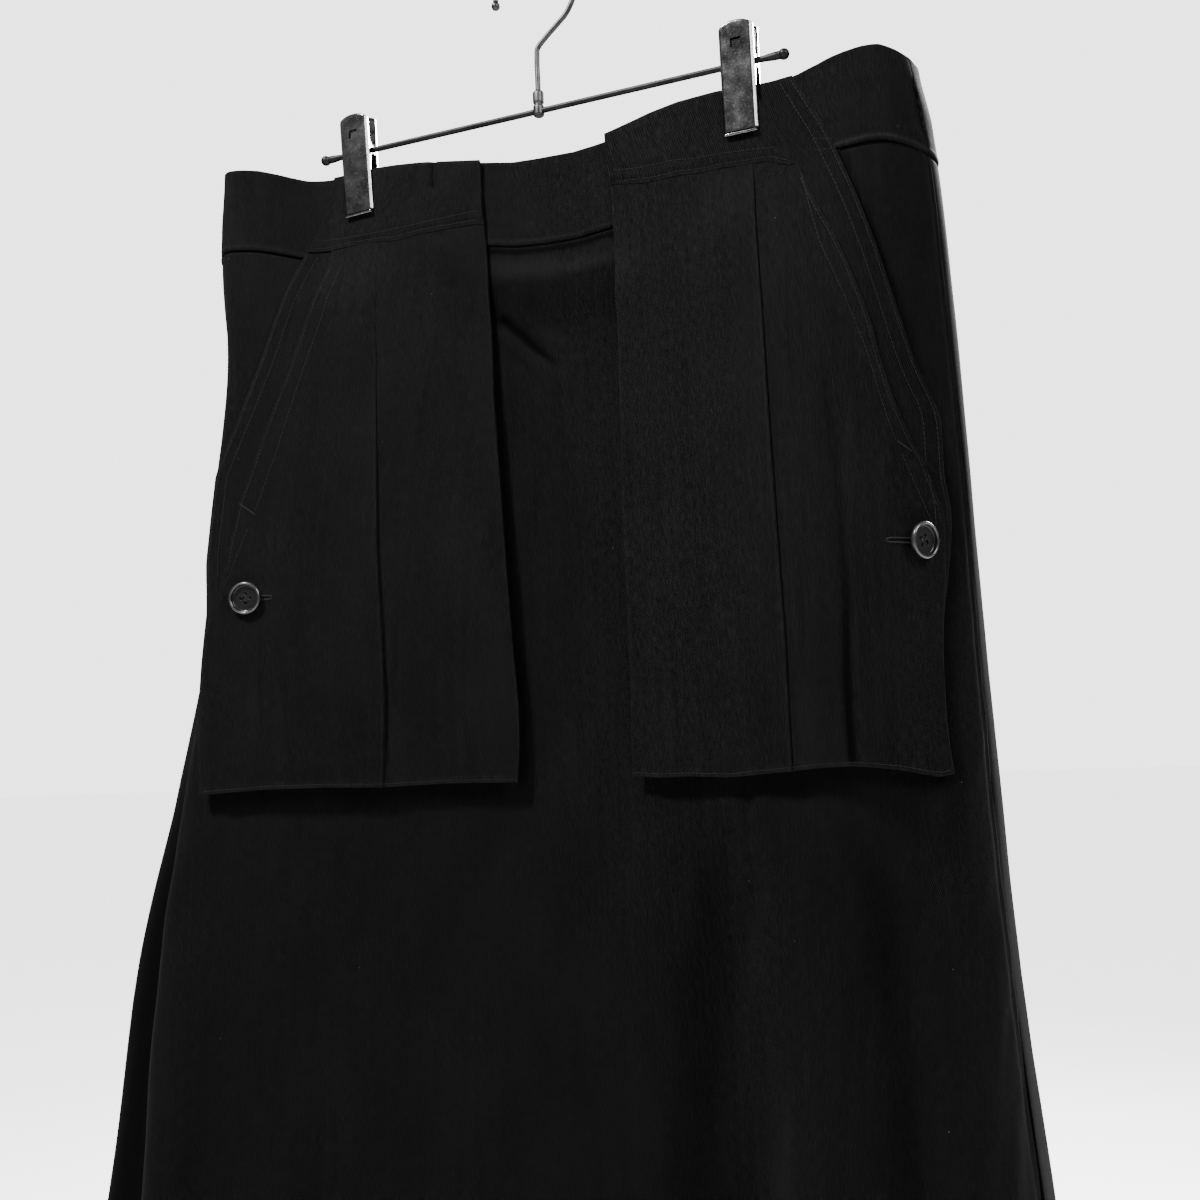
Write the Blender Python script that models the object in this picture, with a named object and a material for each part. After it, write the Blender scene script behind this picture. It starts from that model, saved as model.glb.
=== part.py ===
"""Long A-line skirt with two hanging pocket panels, on a hanger with two sprung clips.

Metres, +Z up, the garment's front towards -Y. The origin is where the hook rests on its rail.
Left and right are as seen from the front.
"""
import math

import bpy
import numpy as np

# ---- hanger ----
ROD_DROP = 0.0989         # hook's rest point to the rod's axis
ROD_HALF = 0.1480         # half the rod's length, without its ball ends
ROD_R = 0.0017
BALL_R = 0.0034
HOOK_WIRE_R = 0.0016
HOOK_R = 0.0265           # radius of the hook's arc, at the middle of the wire
SLEEVE_R = 0.0033         # sleeve that ties the hook to the rod
SLEEVE_TOP = 0.0125       # above the rod's axis
SLEEVE_FOOT = -0.0030
CLIP_X = 0.1245           # clip centres, left and right of the hook
JAW_HALF = 0.0098         # half the width of a clip plate
JAW_WALL = 0.0009
EAR_WALL = 0.0008
SPRING_IN = 0.0020
SPRING_OUT = 0.0036
SPRING_HALF = 0.0060

# ---- cloth ----
HOOK_DROP = 0.1249        # hook's rest point to the waist's top edge at centre front
WALL = 0.0016             # thickness of the skirt and of the waistband
PLY = 0.0010              # thickness of one ply of a pocket panel
GAP = 0.0003              # clearance between pieces that are sewn or gripped together
PANEL_GAP = 0.0008        # clearance behind a pocket panel at the waist
PANEL_STAND = 0.0055      # how much farther the panel stands off at its bottom
BAND = 0.050              # height of the waistband
LENGTH = 0.830            # waist's top edge to the hem
PANEL_FOOT = 0.368        # waist's top edge to the bottom of the pocket panels
PINCH = 0.0020            # outer face of each waist layer from their middle, at the clips
PINCH_Y = 0.5 * (2 * PLY + GAP + PANEL_GAP)     # depth of that middle, so the clips centre on 0
SEAM_U = 0.00015          # half the opening at a side seam, as a share of the round
FRONT_STEP = 0.0125       # spacing of the columns round the front
BACK_STEP = 0.0170        # and round the plainer back

# ---- buttons ----
BUTTON_R = 0.0098
BUTTON_HOLE_R = 0.0011
BUTTON_HOLE_AT = 0.0018   # holes from the middle, both ways

# Plan sections of the cloth's outer face in mm, each at a depth below the waist's top edge.
# Every row goes round the same stations: left side, left valley, left front crest, beside the
# left clip, left clip, left of centre, centre front, right of centre, right valley, right clip,
# right crease, right front crest, right side, then the back from right to left.
SECTIONS = (
    (0, ((-217, -9), (-212, -20), (-201, -27), (-165, -12), (-124, -1), (-40, 3), (0, 4),
         (40, 2), (84, 0), (124, -1), (165, -3), (197, -3), (214, 16), (208, 42),
         (170, 20), (124, 4), (60, 12), (0, 17), (-60, 12), (-124, 4), (-165, 12), (-200, 13))),
    (50, ((-221, -5), (-215, -20), (-202, -29), (-165, -16), (-124, -6), (-40, 4), (0, 7),
          (40, 4), (84, 0), (125, -5), (165, -6), (199, 0), (221, 22), (213, 50),
          (176, 42), (128, 32), (60, 26), (0, 27), (-60, 26), (-128, 26), (-170, 28), (-205, 22))),
    (120, ((-225, 4), (-213, -14), (-200, -31), (-164, -22), (-121, -8), (-40, 10), (0, 14),
           (42, 8), (85, 0), (128, -8), (166, -10), (199, 6), (223, 36), (214, 68),
           (180, 72), (134, 62), (60, 54), (0, 52), (-60, 50), (-134, 50), (-176, 48), (-212, 32))),
    (200, ((-241, 12), (-225, -8), (-210, -34), (-167, -26), (-120, -8), (-40, 14), (0, 20),
           (42, 12), (86, 1), (130, -10), (168, -12), (202, 13), (225, 47), (215, 86),
           (182, 97), (138, 86), (60, 74), (0, 70), (-60, 68), (-138, 70), (-184, 66), (-225, 46))),
    (280, ((-259, 19), (-234, -6), (-213, -36), (-169, -28), (-120, -8), (-40, 17), (0, 24),
           (42, 14), (87, 2), (132, -11), (170, -12), (203, 17), (226, 54), (216, 100),
           (186, 118), (142, 106), (60, 91), (0, 85), (-60, 84), (-144, 87), (-194, 84), (-240, 56))),
    (370, ((-290, 27), (-248, 0), (-229, -40), (-174, -31), (-122, -9), (-40, 20), (0, 26),
           (44, 14), (89, 6), (135, -12), (173, -11), (206, 18), (228, 58), (218, 116),
           (188, 138), (146, 126), (64, 107), (0, 99), (-64, 99), (-152, 104), (-208, 102), (-262, 70))),
    (480, ((-327, 31), (-260, 8), (-238, -54), (-182, -40), (-125, -18), (-41, 14), (0, 22),
           (46, 18), (92, 15), (139, -14), (181, 5), (209, 15), (232, 58), (222, 128),
           (194, 156), (152, 142), (70, 119), (0, 108), (-70, 110), (-164, 118), (-228, 118), (-290, 80))),
    (600, ((-350, 35), (-270, 12), (-243, -61), (-188, -46), (-130, -24), (-42, 6), (0, 14),
           (48, 18), (95, 21), (144, -20), (187, 8), (217, 9), (241, 58), (231, 138),
           (202, 170), (160, 158), (75, 127), (0, 112), (-75, 118), (-178, 132), (-246, 134), (-314, 90))),
    (720, ((-377, 40), (-281, 16), (-253, -67), (-196, -50), (-134, -28), (-44, 0), (0, 8),
           (50, 18), (98, 25), (150, -26), (195, 10), (227, 3), (252, 58), (238, 146),
           (210, 182), (168, 172), (80, 133), (0, 114), (-80, 126), (-190, 146), (-264, 148), (-338, 98))),
    (830, ((-400, 43), (-291, 18), (-262, -71), (-202, -52), (-138, -30), (-46, -4), (0, 4),
           (52, 18), (100, 27), (155, -30), (202, 12), (236, -1), (263, 58), (247, 152),
           (217, 192), (174, 184), (85, 137), (0, 114), (-85, 132), (-200, 158), (-280, 160), (-360, 104))),
)
SIDE_RIGHT = 12           # station of the right side seam; station 0 is the left one

# Gores of the skirt: the stations that each runs between. The front seams lie in valleys.
GORES = {
    "skirt_side_left": (0, 1),
    "skirt_front": (1, 10),
    "skirt_side_right": (10, SIDE_RIGHT),
    "skirt_back_right": (SIDE_RIGHT, 17),
    "skirt_back_left": (17, 22),
}

# Lift of the waist edge at a distance from the middle, mm: the cloth sags between the clips.
LIFT = ((-222, 17), (-204, 19), (-186, 18), (-160, 12.5), (-140, 11.5), (-110, 11.5), (-81, 9.5),
        (-60, 6.5), (-39, 3), (-20, -0.5), (0, -1.7), (20, -2.5), (42, -1), (70, 5.5),
        (88, 8.6), (110, 10.5), (140, 10.5), (156, 11.5), (175, 15.5), (192, 18), (202, 18.5),
        (212, 16.5), (222, 14))
LIFT_FADE = 0.300         # depth at which the lift has died out

# Rows of the skirt's cloth between its band and its hem, as depths in mm.
SKIRT_ROWS = (70, 95, 126, 164, 208, 254, 300, 346, 396, 452, 512, 576, 640, 704, 768)

# Edges of the pocket panels on the body's face: depth and x, mm.
LEFT_INNER = ((0, -41), (27, -41), (50, -39), (73, -38), (141, -39.5), (238, -36.6),
              (283, -35.1), (323, -33.2), (348, -33.6), (368, -35.4))
LEFT_FACE = ((0, -140), (20, -143), (57, -144), (96, -154.7), (125, -163.9), (164, -178.1),
             (188, -185.6), (198, -190), (230, -197), (248, -200.5), (260, -206.5),
             (292, -211.3), (319, -213.3), (345, -213), (368, -212.2))
LEFT_UNDER = ((0, -142), (16, -147.6), (48, -159.9), (121, -180.9), (156, -194.1),
              (171, -200.6), (183, -205.8), (204, -208), (232, -210.6), (262, -209.5),
              (292, -212.3), (319, -214.3), (345, -214), (368, -213.2))
RIGHT_INNER = ((0, 42.5), (25, 43.9), (52, 44.5), (82, 45.8), (125, 44.6), (222, 43.6),
               (264, 44.5), (318, 44.9), (368, 43.6))
RIGHT_FACE = ((0, 131.5), (6, 134.3), (30, 145.7), (41, 151.8), (56, 158), (77, 165.3),
              (98, 174.3), (118, 181), (138, 186.4), (160, 190.1), (179, 193.8), (200, 200.5),
              (210, 205), (221, 207.7), (233, 210.8), (239, 211.4), (270, 209.6), (287, 207.6),
              (309, 206.6), (339, 206.6), (355, 207.4), (368, 208.6))
RIGHT_UNDER = ((0, 154), (6, 157), (35, 170.8), (55, 178.1), (76, 185.3), (101, 192.4),
               (126, 198.1), (145, 202.2), (161, 205.8), (173, 209.8), (182, 213.2),
               (190, 214.2), (218, 213.5), (232, 215), (244, 214.6), (259, 212.9),
               (272, 211), (289, 208.7), (309, 207.5), (339, 207.5), (355, 208.3), (368, 209.5))
PANEL_ROWS = (0, 17, 34, 52, 72, 98, 128, 160, 190, 216, 240, 268, 300, 335)
PANEL_COLUMNS = 13        # closer together towards the side, where the panel bends round the hip
PANEL_RISE = {"left": 0.0005, "right": 0.0035}    # inner top corner above the waist's edge
BUTTON_AT = {"left": (-185.6, 255.0), "right": (199.6, 250.0)}    # x and depth, mm

# Materials: colour, metallic, roughness.
LOOKS = {
    "skirt_twill": ((0.013, 0.013, 0.014), 0.0, 0.90),
    "band_twill": ((0.014, 0.014, 0.015), 0.0, 0.90),
    "panel_twill": ((0.016, 0.016, 0.017), 0.0, 0.88),
    "panel_lining_twill": ((0.012, 0.012, 0.013), 0.0, 0.90),
    "button_black": ((0.010, 0.010, 0.011), 0.0, 0.28),
    "wire_steel": ((0.42, 0.42, 0.44), 1.0, 0.22),
    "clip_steel": ((0.30, 0.30, 0.32), 1.0, 0.25),
    "spring_steel": ((0.36, 0.36, 0.38), 1.0, 0.30),
}


def smooth(lo, hi, v):
    """Smooth ramp from 0 at lo to 1 at hi."""
    t = np.clip((v - lo) / (hi - lo), 0.0, 1.0)
    return t * t * (3.0 - 2.0 * t)


DEPTHS = np.array([row[0] for row in SECTIONS]) / 1000.0
PLAN = np.array([row[1] for row in SECTIONS], float) / 1000.0
STATIONS = PLAN.shape[1]


def knots():
    """Spacing of the stations round the body: mean chord over all sections, as a share."""
    chord = np.linalg.norm(np.roll(PLAN, -1, axis=1) - PLAN, axis=2).mean(axis=0)
    return np.concatenate(([0.0], np.cumsum(chord))) / chord.sum()


KNOTS = knots()
U_RIGHT = KNOTS[SIDE_RIGHT]


def hermite(p0, p1, m0, m1, h, t):
    """Cubic through p0 and p1 with slopes m0 and m1 over a span h."""
    t2 = t * t
    t3 = t2 * t
    return ((2 * t3 - 3 * t2 + 1) * p0 + (t3 - 2 * t2 + t) * h * m0
            + (3 * t2 - 2 * t3) * p1 + (t3 - t2) * h * m1)


def round_slopes():
    """Slope along the round at every station of every section."""
    h = np.diff(KNOTS)
    hb = np.roll(h, 1)
    ahead = (np.roll(PLAN, -1, axis=1) - PLAN) / h[None, :, None]
    behind = np.roll(ahead, 1, axis=1)
    return (ahead * hb[None, :, None] + behind * h[None, :, None]) / (h + hb)[None, :, None]


SLOPES = round_slopes()


def plan_rows(u):
    """(x, y) on every section at the round positions u: array (sections, len(u), 2)."""
    u = np.mod(u, 1.0)
    i = np.clip(np.searchsorted(KNOTS, u, side="right") - 1, 0, STATIONS - 1)
    j = (i + 1) % STATIONS
    h = KNOTS[i + 1] - KNOTS[i]
    t = (u - KNOTS[i]) / h
    return hermite(PLAN[:, i], PLAN[:, j], SLOPES[:, i], SLOPES[:, j],
                   h[None, :, None], t[None, :, None])


def down_slopes(rows):
    """Slope down the body at every section."""
    h = np.diff(DEPTHS)
    step = (rows[1:] - rows[:-1]) / h[:, None, None]
    inner = (step[:-1] * h[1:, None, None] + step[1:] * h[:-1, None, None])
    inner = inner / (h[1:] + h[:-1])[:, None, None]
    return np.concatenate((step[:1], inner, step[-1:]))


def body(u, depth):
    """Points on the cloth's outer face: u round the body, depth below the waist edge."""
    u = np.asarray(u, float).ravel()
    depth = np.asarray(depth, float).ravel()
    rows = plan_rows(u)
    slope = down_slopes(rows)
    k = np.clip(np.searchsorted(DEPTHS, depth, side="right") - 1, 0, len(DEPTHS) - 2)
    n = np.arange(len(u))
    h = (DEPTHS[k + 1] - DEPTHS[k])[:, None]
    t = ((depth - DEPTHS[k])[:, None]) / h
    xy = hermite(rows[k, n], rows[k + 1, n], slope[k, n], slope[k + 1, n], h, t)
    x, y = xy[:, 0], xy[:, 1]
    front = np.where(np.mod(u, 1.0) < U_RIGHT, -1.0, 1.0)
    grip = 1.0 - smooth(0.019, 0.055, np.abs(np.abs(x) - CLIP_X))
    grip = grip * (1.0 - smooth(0.034, 0.085, depth))
    y = y + (PINCH_Y + front * PINCH - y) * grip
    lift = np.interp(x * 1000.0, [r[0] for r in LIFT], [r[1] for r in LIFT]) / 1000.0
    lift = lift * (1.0 - smooth(0.0, LIFT_FADE, depth))
    return np.stack((x, y, -HOOK_DROP - depth + lift), axis=1)


def normals(u, depth):
    """Outward unit normals of the body."""
    du, dz = 1e-4, 1e-4
    across = body(np.add(u, du), depth) - body(np.subtract(u, du), depth)
    down = body(u, np.add(depth, dz)) - body(u, np.subtract(depth, dz))
    n = np.cross(down, across)
    return n / np.linalg.norm(n, axis=1)[:, None]


def front_u(x, depth):
    """Round position on the front where the body's outer face reaches x, by halving."""
    x = np.asarray(x, float).ravel()
    depth = np.broadcast_to(np.asarray(depth, float).ravel(), x.shape)
    low = np.zeros_like(x)
    high = np.full_like(x, U_RIGHT)
    for _ in range(30):
        mid = (low + high) / 2.0
        under = body(mid, depth)[:, 0] < x
        low = np.where(under, mid, low)
        high = np.where(under, high, mid)
    return (low + high) / 2.0


def panel_off(depth):
    """Stand-off of a pocket panel from the body: snug at the waist, free at the bottom."""
    return PANEL_GAP + PANEL_STAND * smooth(0.030, 0.300, np.asarray(depth, float))


def clear_scene():
    """Take away whatever the start file holds."""
    for ob in list(bpy.data.objects):
        bpy.data.objects.remove(ob, do_unlink=True)


def material(name):
    """One Principled material of the part's table."""
    mat = bpy.data.materials.get(name)
    if mat is None:
        colour, metallic, rough = LOOKS[name]
        mat = bpy.data.materials.new(name)
        mat.use_nodes = True
        shader = mat.node_tree.nodes["Principled BSDF"]
        shader.inputs["Base Color"].default_value = colour + (1.0,)
        shader.inputs["Metallic"].default_value = metallic
        shader.inputs["Roughness"].default_value = rough
        mat.diffuse_color = colour + (1.0,)
    return mat


def make_object(name, points, faces, slot):
    """Mesh object from points and faces, smooth shaded."""
    mesh = bpy.data.meshes.new(name)
    mesh.from_pydata([tuple(map(float, p)) for p in points], [], faces)
    mesh.materials.append(material(slot))
    mesh.polygons.foreach_set("use_smooth", [True] * len(mesh.polygons))
    mesh.update()
    ob = bpy.data.objects.new(name, mesh)
    bpy.context.scene.collection.objects.link(ob)
    return ob


def sheet(name, outer, inner, slot, missing=()):
    """Closed wall between two grids of points (rows down, columns anticlockwise from above).

    missing lists the (row, column) cells left out, which makes a window with its own rim.
    """
    rows, cols = outer.shape[:2]
    points = np.concatenate((outer.reshape(-1, 3), inner.reshape(-1, 3)))
    back = rows * cols
    faces = []
    for i in range(rows - 1):
        for j in range(cols - 1):
            if (i, j) in missing:
                continue
            a, b = i * cols + j, (i + 1) * cols + j
            faces.append((a, b, b + 1, a + 1))
            faces.append((back + a, back + a + 1, back + b + 1, back + b))
            rims = (((i, j - 1), (a, b)), ((i + 1, j), (b, b + 1)),
                    ((i, j + 1), (b + 1, a + 1)), ((i - 1, j), (a + 1, a)))
            for (ri, rj), (p, q) in rims:
                inside = 0 <= ri < rows - 1 and 0 <= rj < cols - 1
                if not inside or (ri, rj) in missing:
                    faces.append((q, p, back + p, back + q))
    used = sorted({k for face in faces for k in face})
    place = {k: n for n, k in enumerate(used)}
    faces = [tuple(place[k] for k in face) for face in faces]
    return make_object(name, points[used], faces, slot)


def body_wall(name, columns, depths, slot):
    """Wall of the skirt or of its band on a grid of columns and depths."""
    uu, dd = np.meshgrid(columns, depths)
    face = body(uu, dd)
    out = normals(uu, dd)
    shape = uu.shape + (3,)
    return sheet(name, face.reshape(shape), (face - WALL * out).reshape(shape), slot)


def columns_between(first, last):
    """Round positions between two stations, a seam's clearance in from each end."""
    step = FRONT_STEP if first < SIDE_RIGHT else BACK_STEP
    marks = [KNOTS[first]]
    for k in range(first, last):
        span = KNOTS[k + 1] - KNOTS[k]
        count = max(2, round(span * 1.2 / step))
        marks += [KNOTS[k] + span * (n + 1) / count for n in range(count)]
    marks[0] += SEAM_U
    marks[-1] -= SEAM_U
    return np.array(marks)


def edge_x(table, depths):
    """x of a panel edge at the given depths, m."""
    return np.interp(depths * 1000.0, [r[0] for r in table], [r[1] for r in table]) / 1000.0


def panel_grid(side):
    """(u, depth) of a panel: columns from its inner edge to the face's edge, then the lining's."""
    inner, face, under = ((LEFT_INNER, LEFT_FACE, LEFT_UNDER) if side == "left"
                          else (RIGHT_INNER, RIGHT_FACE, RIGHT_UNDER))
    depths = np.append(np.array(PANEL_ROWS) / 1000.0, PANEL_FOOT)
    shares = 1.0 - np.linspace(1.0, 0.0, PANEL_COLUMNS) ** 1.3
    past = np.array((0.35, 0.7, 1.0))
    u_rows, d_rows = [], []
    for d in depths:
        ends = [edge_x(t, np.array([d]))[0] for t in (inner, face, under)]
        u_in, u_face, u_under = front_u(ends, d)
        u_rows.append(np.concatenate((u_in + (u_face - u_in) * shares,
                                      u_face + (u_under - u_face) * past)))
        rise = PANEL_RISE[side] * np.concatenate((1.0 - shares, 0.0 * past))
        d_rows.append(d - rise * (1.0 - smooth(0.0, 0.050, d)))
    return np.array(u_rows), np.array(d_rows), len(shares)


def make_panel(side):
    """The two plies of one pocket panel: the lining behind, the face on it."""
    uu, dd, face_cols = panel_grid(side)
    shape = uu.shape + (3,)
    base = body(uu, dd).reshape(shape)
    out = normals(uu, dd).reshape(shape)
    off = panel_off(dd)[:, :, None]
    if side == "left":
        base, out, off = base[:, ::-1], out[:, ::-1], off[:, ::-1]
        own = slice(uu.shape[1] - face_cols, None)
    else:
        own = slice(0, face_cols)
    lining = base + off * out
    sheet("pocket_%s_under" % side, lining + PLY * out, lining, "panel_lining_twill")
    face = (base + (off + PLY + GAP) * out)[:, own]
    sheet("pocket_%s_face" % side, face + PLY * out[:, own], face, "panel_twill")


def lathe(name, profile, segments, slot, frame, closed=False):
    """Turn (radius, height) points about an axis; frame is (origin, x, y, axis)."""
    origin, ax, ay, az = [np.array(v, float) for v in frame]
    points, rings = [], []
    for r, h in profile:
        ring = []
        for k in range(segments if r > 0 else 1):
            turn = 2 * math.pi * k / segments
            ring.append(len(points))
            points.append(origin + az * h + r * (ax * math.cos(turn) + ay * math.sin(turn)))
        rings.append(ring)
    faces = []
    pairs = list(zip(rings, rings[1:]))
    if closed:
        pairs.append((rings[-1], rings[0]))
    for low, high in pairs:
        for k in range(segments):
            n = (k + 1) % segments
            if len(low) == 1:
                faces.append((low[0], high[n], high[k]))
            elif len(high) == 1:
                faces.append((low[k], low[n], high[0]))
            else:
                faces.append((low[k], low[n], high[n], high[k]))
    return make_object(name, points, faces, slot)


def prism(name, outline, low, high, slot):
    """Closed prism along X from an outline of (y, z) points in anticlockwise order from +X."""
    count = len(outline)
    points = [(low, y, z) for y, z in outline] + [(high, y, z) for y, z in outline]
    faces = [tuple(reversed(range(count))), tuple(range(count, 2 * count))]
    for k in range(count):
        n = (k + 1) % count
        faces.append((k, n, count + n, count + k))
    return make_object(name, points, faces, slot)


def combine(target, tool, operation):
    """Join or cut with an exact boolean, then drop the tool."""
    mod = target.modifiers.new("cut", "BOOLEAN")
    mod.operation = operation
    mod.solver = "EXACT"
    mod.object = tool
    graph = bpy.context.evaluated_depsgraph_get()
    mesh = bpy.data.meshes.new_from_object(target.evaluated_get(graph))
    target.modifiers.clear()
    old = target.data
    target.data = mesh
    bpy.data.meshes.remove(old)
    bpy.data.objects.remove(tool, do_unlink=True)


def along_x(centre_x, r, half, name, slot, segments=12):
    """Plain cylinder along X on the rod's axis."""
    frame = ((centre_x, 0, -ROD_DROP), (0, 1, 0), (0, 0, 1), (1, 0, 0))
    return lathe(name, ((0, -half), (r, -half), (r, half), (0, half)), segments, slot, frame)


def make_rod():
    """Rod with a ball on each end."""
    end = []
    for deg in (0, 30, 60, 90, 120, 148):
        t = math.radians(deg)
        end.append((BALL_R * math.sin(t), BALL_R * math.cos(t)))
    profile = [(r, -ROD_HALF - 0.002 - h) for r, h in end]
    profile += [(r, ROD_HALF + 0.002 + h) for r, h in reversed(end)]
    frame = ((0, 0, -ROD_DROP), (0, 1, 0), (0, 0, 1), (1, 0, 0))
    lathe("hanger_rod", profile, 12, "wire_steel", frame)


def hook_path():
    """Middle line of the hook's wire, from inside the sleeve to its free tip, as (x, z)."""
    path = [(0.0, -0.0895), (0.0, -0.0625), (0.0016, -0.0580), (0.0185, -0.0440)]
    for deg in range(-24, 181, 12):
        t = math.radians(deg)
        path.append((HOOK_R * math.cos(t), HOOK_R * math.sin(t) - HOOK_R + HOOK_WIRE_R))
    return np.array(path)


def make_hook():
    """Bent wire with a ball tip, standing in a sleeve that the rod passes through."""
    path = hook_path()
    ahead = np.vstack((path[1:] - path[:-1], path[-1:] - path[-2:-1]))
    behind = np.vstack((ahead[:1], ahead[:-1]))
    run = ahead / np.linalg.norm(ahead, axis=1)[:, None]
    run = run + behind / np.linalg.norm(behind, axis=1)[:, None]
    run = run / np.linalg.norm(run, axis=1)[:, None]
    radii = [HOOK_WIRE_R] * len(path)
    tip = path[-1] + np.outer((0.0008, 0.0022, 0.0036, 0.0044), run[-1])
    path = np.vstack((path, tip))
    run = np.vstack((run, np.repeat(run[-1:], 4, axis=0)))
    radii += [0.0022, 0.0025, 0.0018, 0.0]
    sides = 10
    points, faces, rings = [], [], []
    for (x, z), (dx, dz), r in zip(path, run, radii):
        ring = []
        for k in range(sides if r > 0 else 1):
            t = 2 * math.pi * k / sides
            ring.append(len(points))
            points.append((x + r * math.cos(t) * dz, -r * math.sin(t), z - r * math.cos(t) * dx))
        rings.append(ring)
    faces.append(tuple(reversed(rings[0])))
    for low, high in zip(rings, rings[1:]):
        for k in range(sides):
            n = (k + 1) % sides
            if len(high) == 1:
                faces.append((low[k], low[n], high[0]))
            else:
                faces.append((low[k], low[n], high[n], high[k]))
    hook = make_object("hook", points, faces, "wire_steel")
    top = -ROD_DROP + SLEEVE_TOP
    foot = -ROD_DROP + SLEEVE_FOOT
    frame = ((0, 0, 0), (1, 0, 0), (0, 1, 0), (0, 0, 1))
    profile = ((0, foot), (SLEEVE_R - 0.0008, foot), (SLEEVE_R, foot + 0.0008),
               (SLEEVE_R, top - 0.0010), (SLEEVE_R - 0.0010, top), (0, top))
    combine(hook, lathe("sleeve", profile, 16, "wire_steel", frame), "UNION")
    combine(hook, along_x(0.0, ROD_R + 0.00025, 0.01, "bore", "wire_steel"), "DIFFERENCE")


def jaw_inner(height):
    """Depth of a clip plate's inner face at a height above the rod's axis."""
    grip = PINCH_Y + PINCH + GAP
    return grip + np.interp(height, (-0.0130, -0.0060, 0.0, 0.0200), (0.0, 0.0012, 0.0032, 0.0088))


def make_jaw(name, centre, sign):
    """One pressed plate of a clip: arched top, window, two ears that the rod passes through."""
    columns = np.array((-1.0, -0.72, -0.27, 0.27, 0.72, 1.0)) * JAW_HALF
    heights = np.array((1.0, 0.76, 0.49, 0.30, 0.0, -0.30, -0.65, -1.35, -2.05, -2.125)) * 0.0200
    rows = []
    for n, h in enumerate(heights):
        drop = 0.0055 * (np.abs(columns) / JAW_HALF) ** 2.4 * (1.0, 0.45)[n] if n < 2 else 0.0
        z = h - drop + 0.0 * columns
        y = jaw_inner(z)
        if n == len(heights) - 1:
            y = y + 0.0011
        rows.append(np.stack((columns, y, z), axis=1))
    inner = np.array(rows)
    wall = inner + np.array((0.0, JAW_WALL, 0.0))
    wall[-1, :, 2] += 0.0008
    place = np.array((centre, 0.0, -ROD_DROP))
    flip = np.array((1.0, sign, 1.0))
    inner, wall = inner * flip + place, wall * flip + place
    if sign > 0:
        inner, wall = inner[:, ::-1], wall[:, ::-1]
    jaw = sheet(name, wall, inner, "clip_steel", missing={(1, 2)})
    half = JAW_HALF - 0.0001 if sign < 0 else JAW_HALF - EAR_WALL - 0.0005
    outline = [(jaw_inner(0.0125) + 0.0004, 0.0125), (-0.0030, 0.0045), (-0.0036, 0.0),
               (-0.0030, -0.0040), (jaw_inner(-0.0105) + 0.0004, -0.0105)]
    outline = [(y * sign, z - ROD_DROP) for y, z in outline]
    if sign < 0:
        outline.reverse()
    for edge in (-1, 1):
        ends = sorted((centre + edge * half, centre + edge * (half - EAR_WALL)))
        combine(jaw, prism("ear", outline, ends[0], ends[1], "clip_steel"), "UNION")
    combine(jaw, along_x(centre, ROD_R + GAP, 0.02, "bore", "clip_steel"), "DIFFERENCE")


def make_spring(name, centre):
    """Coil round the rod between the ears, as a ribbed sleeve."""
    ribs = 5
    profile = [(SPRING_IN, SPRING_HALF), (SPRING_IN, -SPRING_HALF)]
    for k in range(ribs):
        low = -SPRING_HALF + 2 * SPRING_HALF * k / ribs
        step = 2 * SPRING_HALF / ribs
        profile += [(SPRING_OUT - 0.0007, low), (SPRING_OUT, low + 0.5 * step)]
    profile += [(SPRING_OUT - 0.0007, SPRING_HALF)]
    frame = ((centre, 0, -ROD_DROP), (0, 1, 0), (0, 0, 1), (1, 0, 0))
    lathe(name, profile, 12, "spring_steel", frame, closed=True)


def make_button(name, side):
    """Four-hole button with a raised rim, on its panel's face."""
    x, depth = (v / 1000.0 for v in BUTTON_AT[side])
    u = front_u([x], depth)
    out = normals(u, [depth])[0]
    lift = panel_off(depth) + 2 * PLY + 2 * GAP + 0.0003
    origin = body(u, [depth])[0] + out * lift
    across = np.cross(out, (0.0, 0.0, 1.0))
    across = across / np.linalg.norm(across)
    up = np.cross(out, across)
    frame = (origin, across, up, out)
    r = BUTTON_R
    profile = ((0, 0), (0.80 * r, 0), (r, 0.0011), (r, 0.0022), (0.93 * r, 0.0030),
               (0.80 * r, 0.0029), (0.70 * r, 0.0020), (0, 0.0019))
    button = lathe(name, profile, 24, "button_black", frame)
    for a in (-BUTTON_HOLE_AT, BUTTON_HOLE_AT):
        for b in (-BUTTON_HOLE_AT, BUTTON_HOLE_AT):
            at = origin + across * a + up * b
            hole = lathe("hole", ((0, -0.001), (BUTTON_HOLE_R, -0.001), (BUTTON_HOLE_R, 0.004),
                                  (0, 0.004)), 8, "button_black", (at, across, up, out))
            combine(button, hole, "DIFFERENCE")


def main():
    clear_scene()
    skirt_rows = np.concatenate(([BAND + GAP], np.array(SKIRT_ROWS) / 1000.0, [LENGTH]))
    band_rows = np.linspace(0.0, BAND, 4)
    for name, (first, last) in GORES.items():
        body_wall(name, columns_between(first, last), skirt_rows, "skirt_twill")
    body_wall("waistband_front", columns_between(0, SIDE_RIGHT), band_rows, "band_twill")
    body_wall("waistband_back", columns_between(SIDE_RIGHT, STATIONS), band_rows, "band_twill")
    for side in ("left", "right"):
        make_panel(side)
        make_button("button_%s" % side, side)
    make_rod()
    make_hook()
    for side, x in (("left", -CLIP_X), ("right", CLIP_X)):
        make_jaw("clip_%s_front" % side, x, -1.0)
        make_jaw("clip_%s_back" % side, x, 1.0)
        make_spring("clip_%s_spring" % side, x)


main()
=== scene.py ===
"""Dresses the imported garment: cloth, stitching, buttons, metal, floor, light and camera.

Metres, in the model's own frame. Left and right are as seen from the front.
"""
import math

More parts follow.
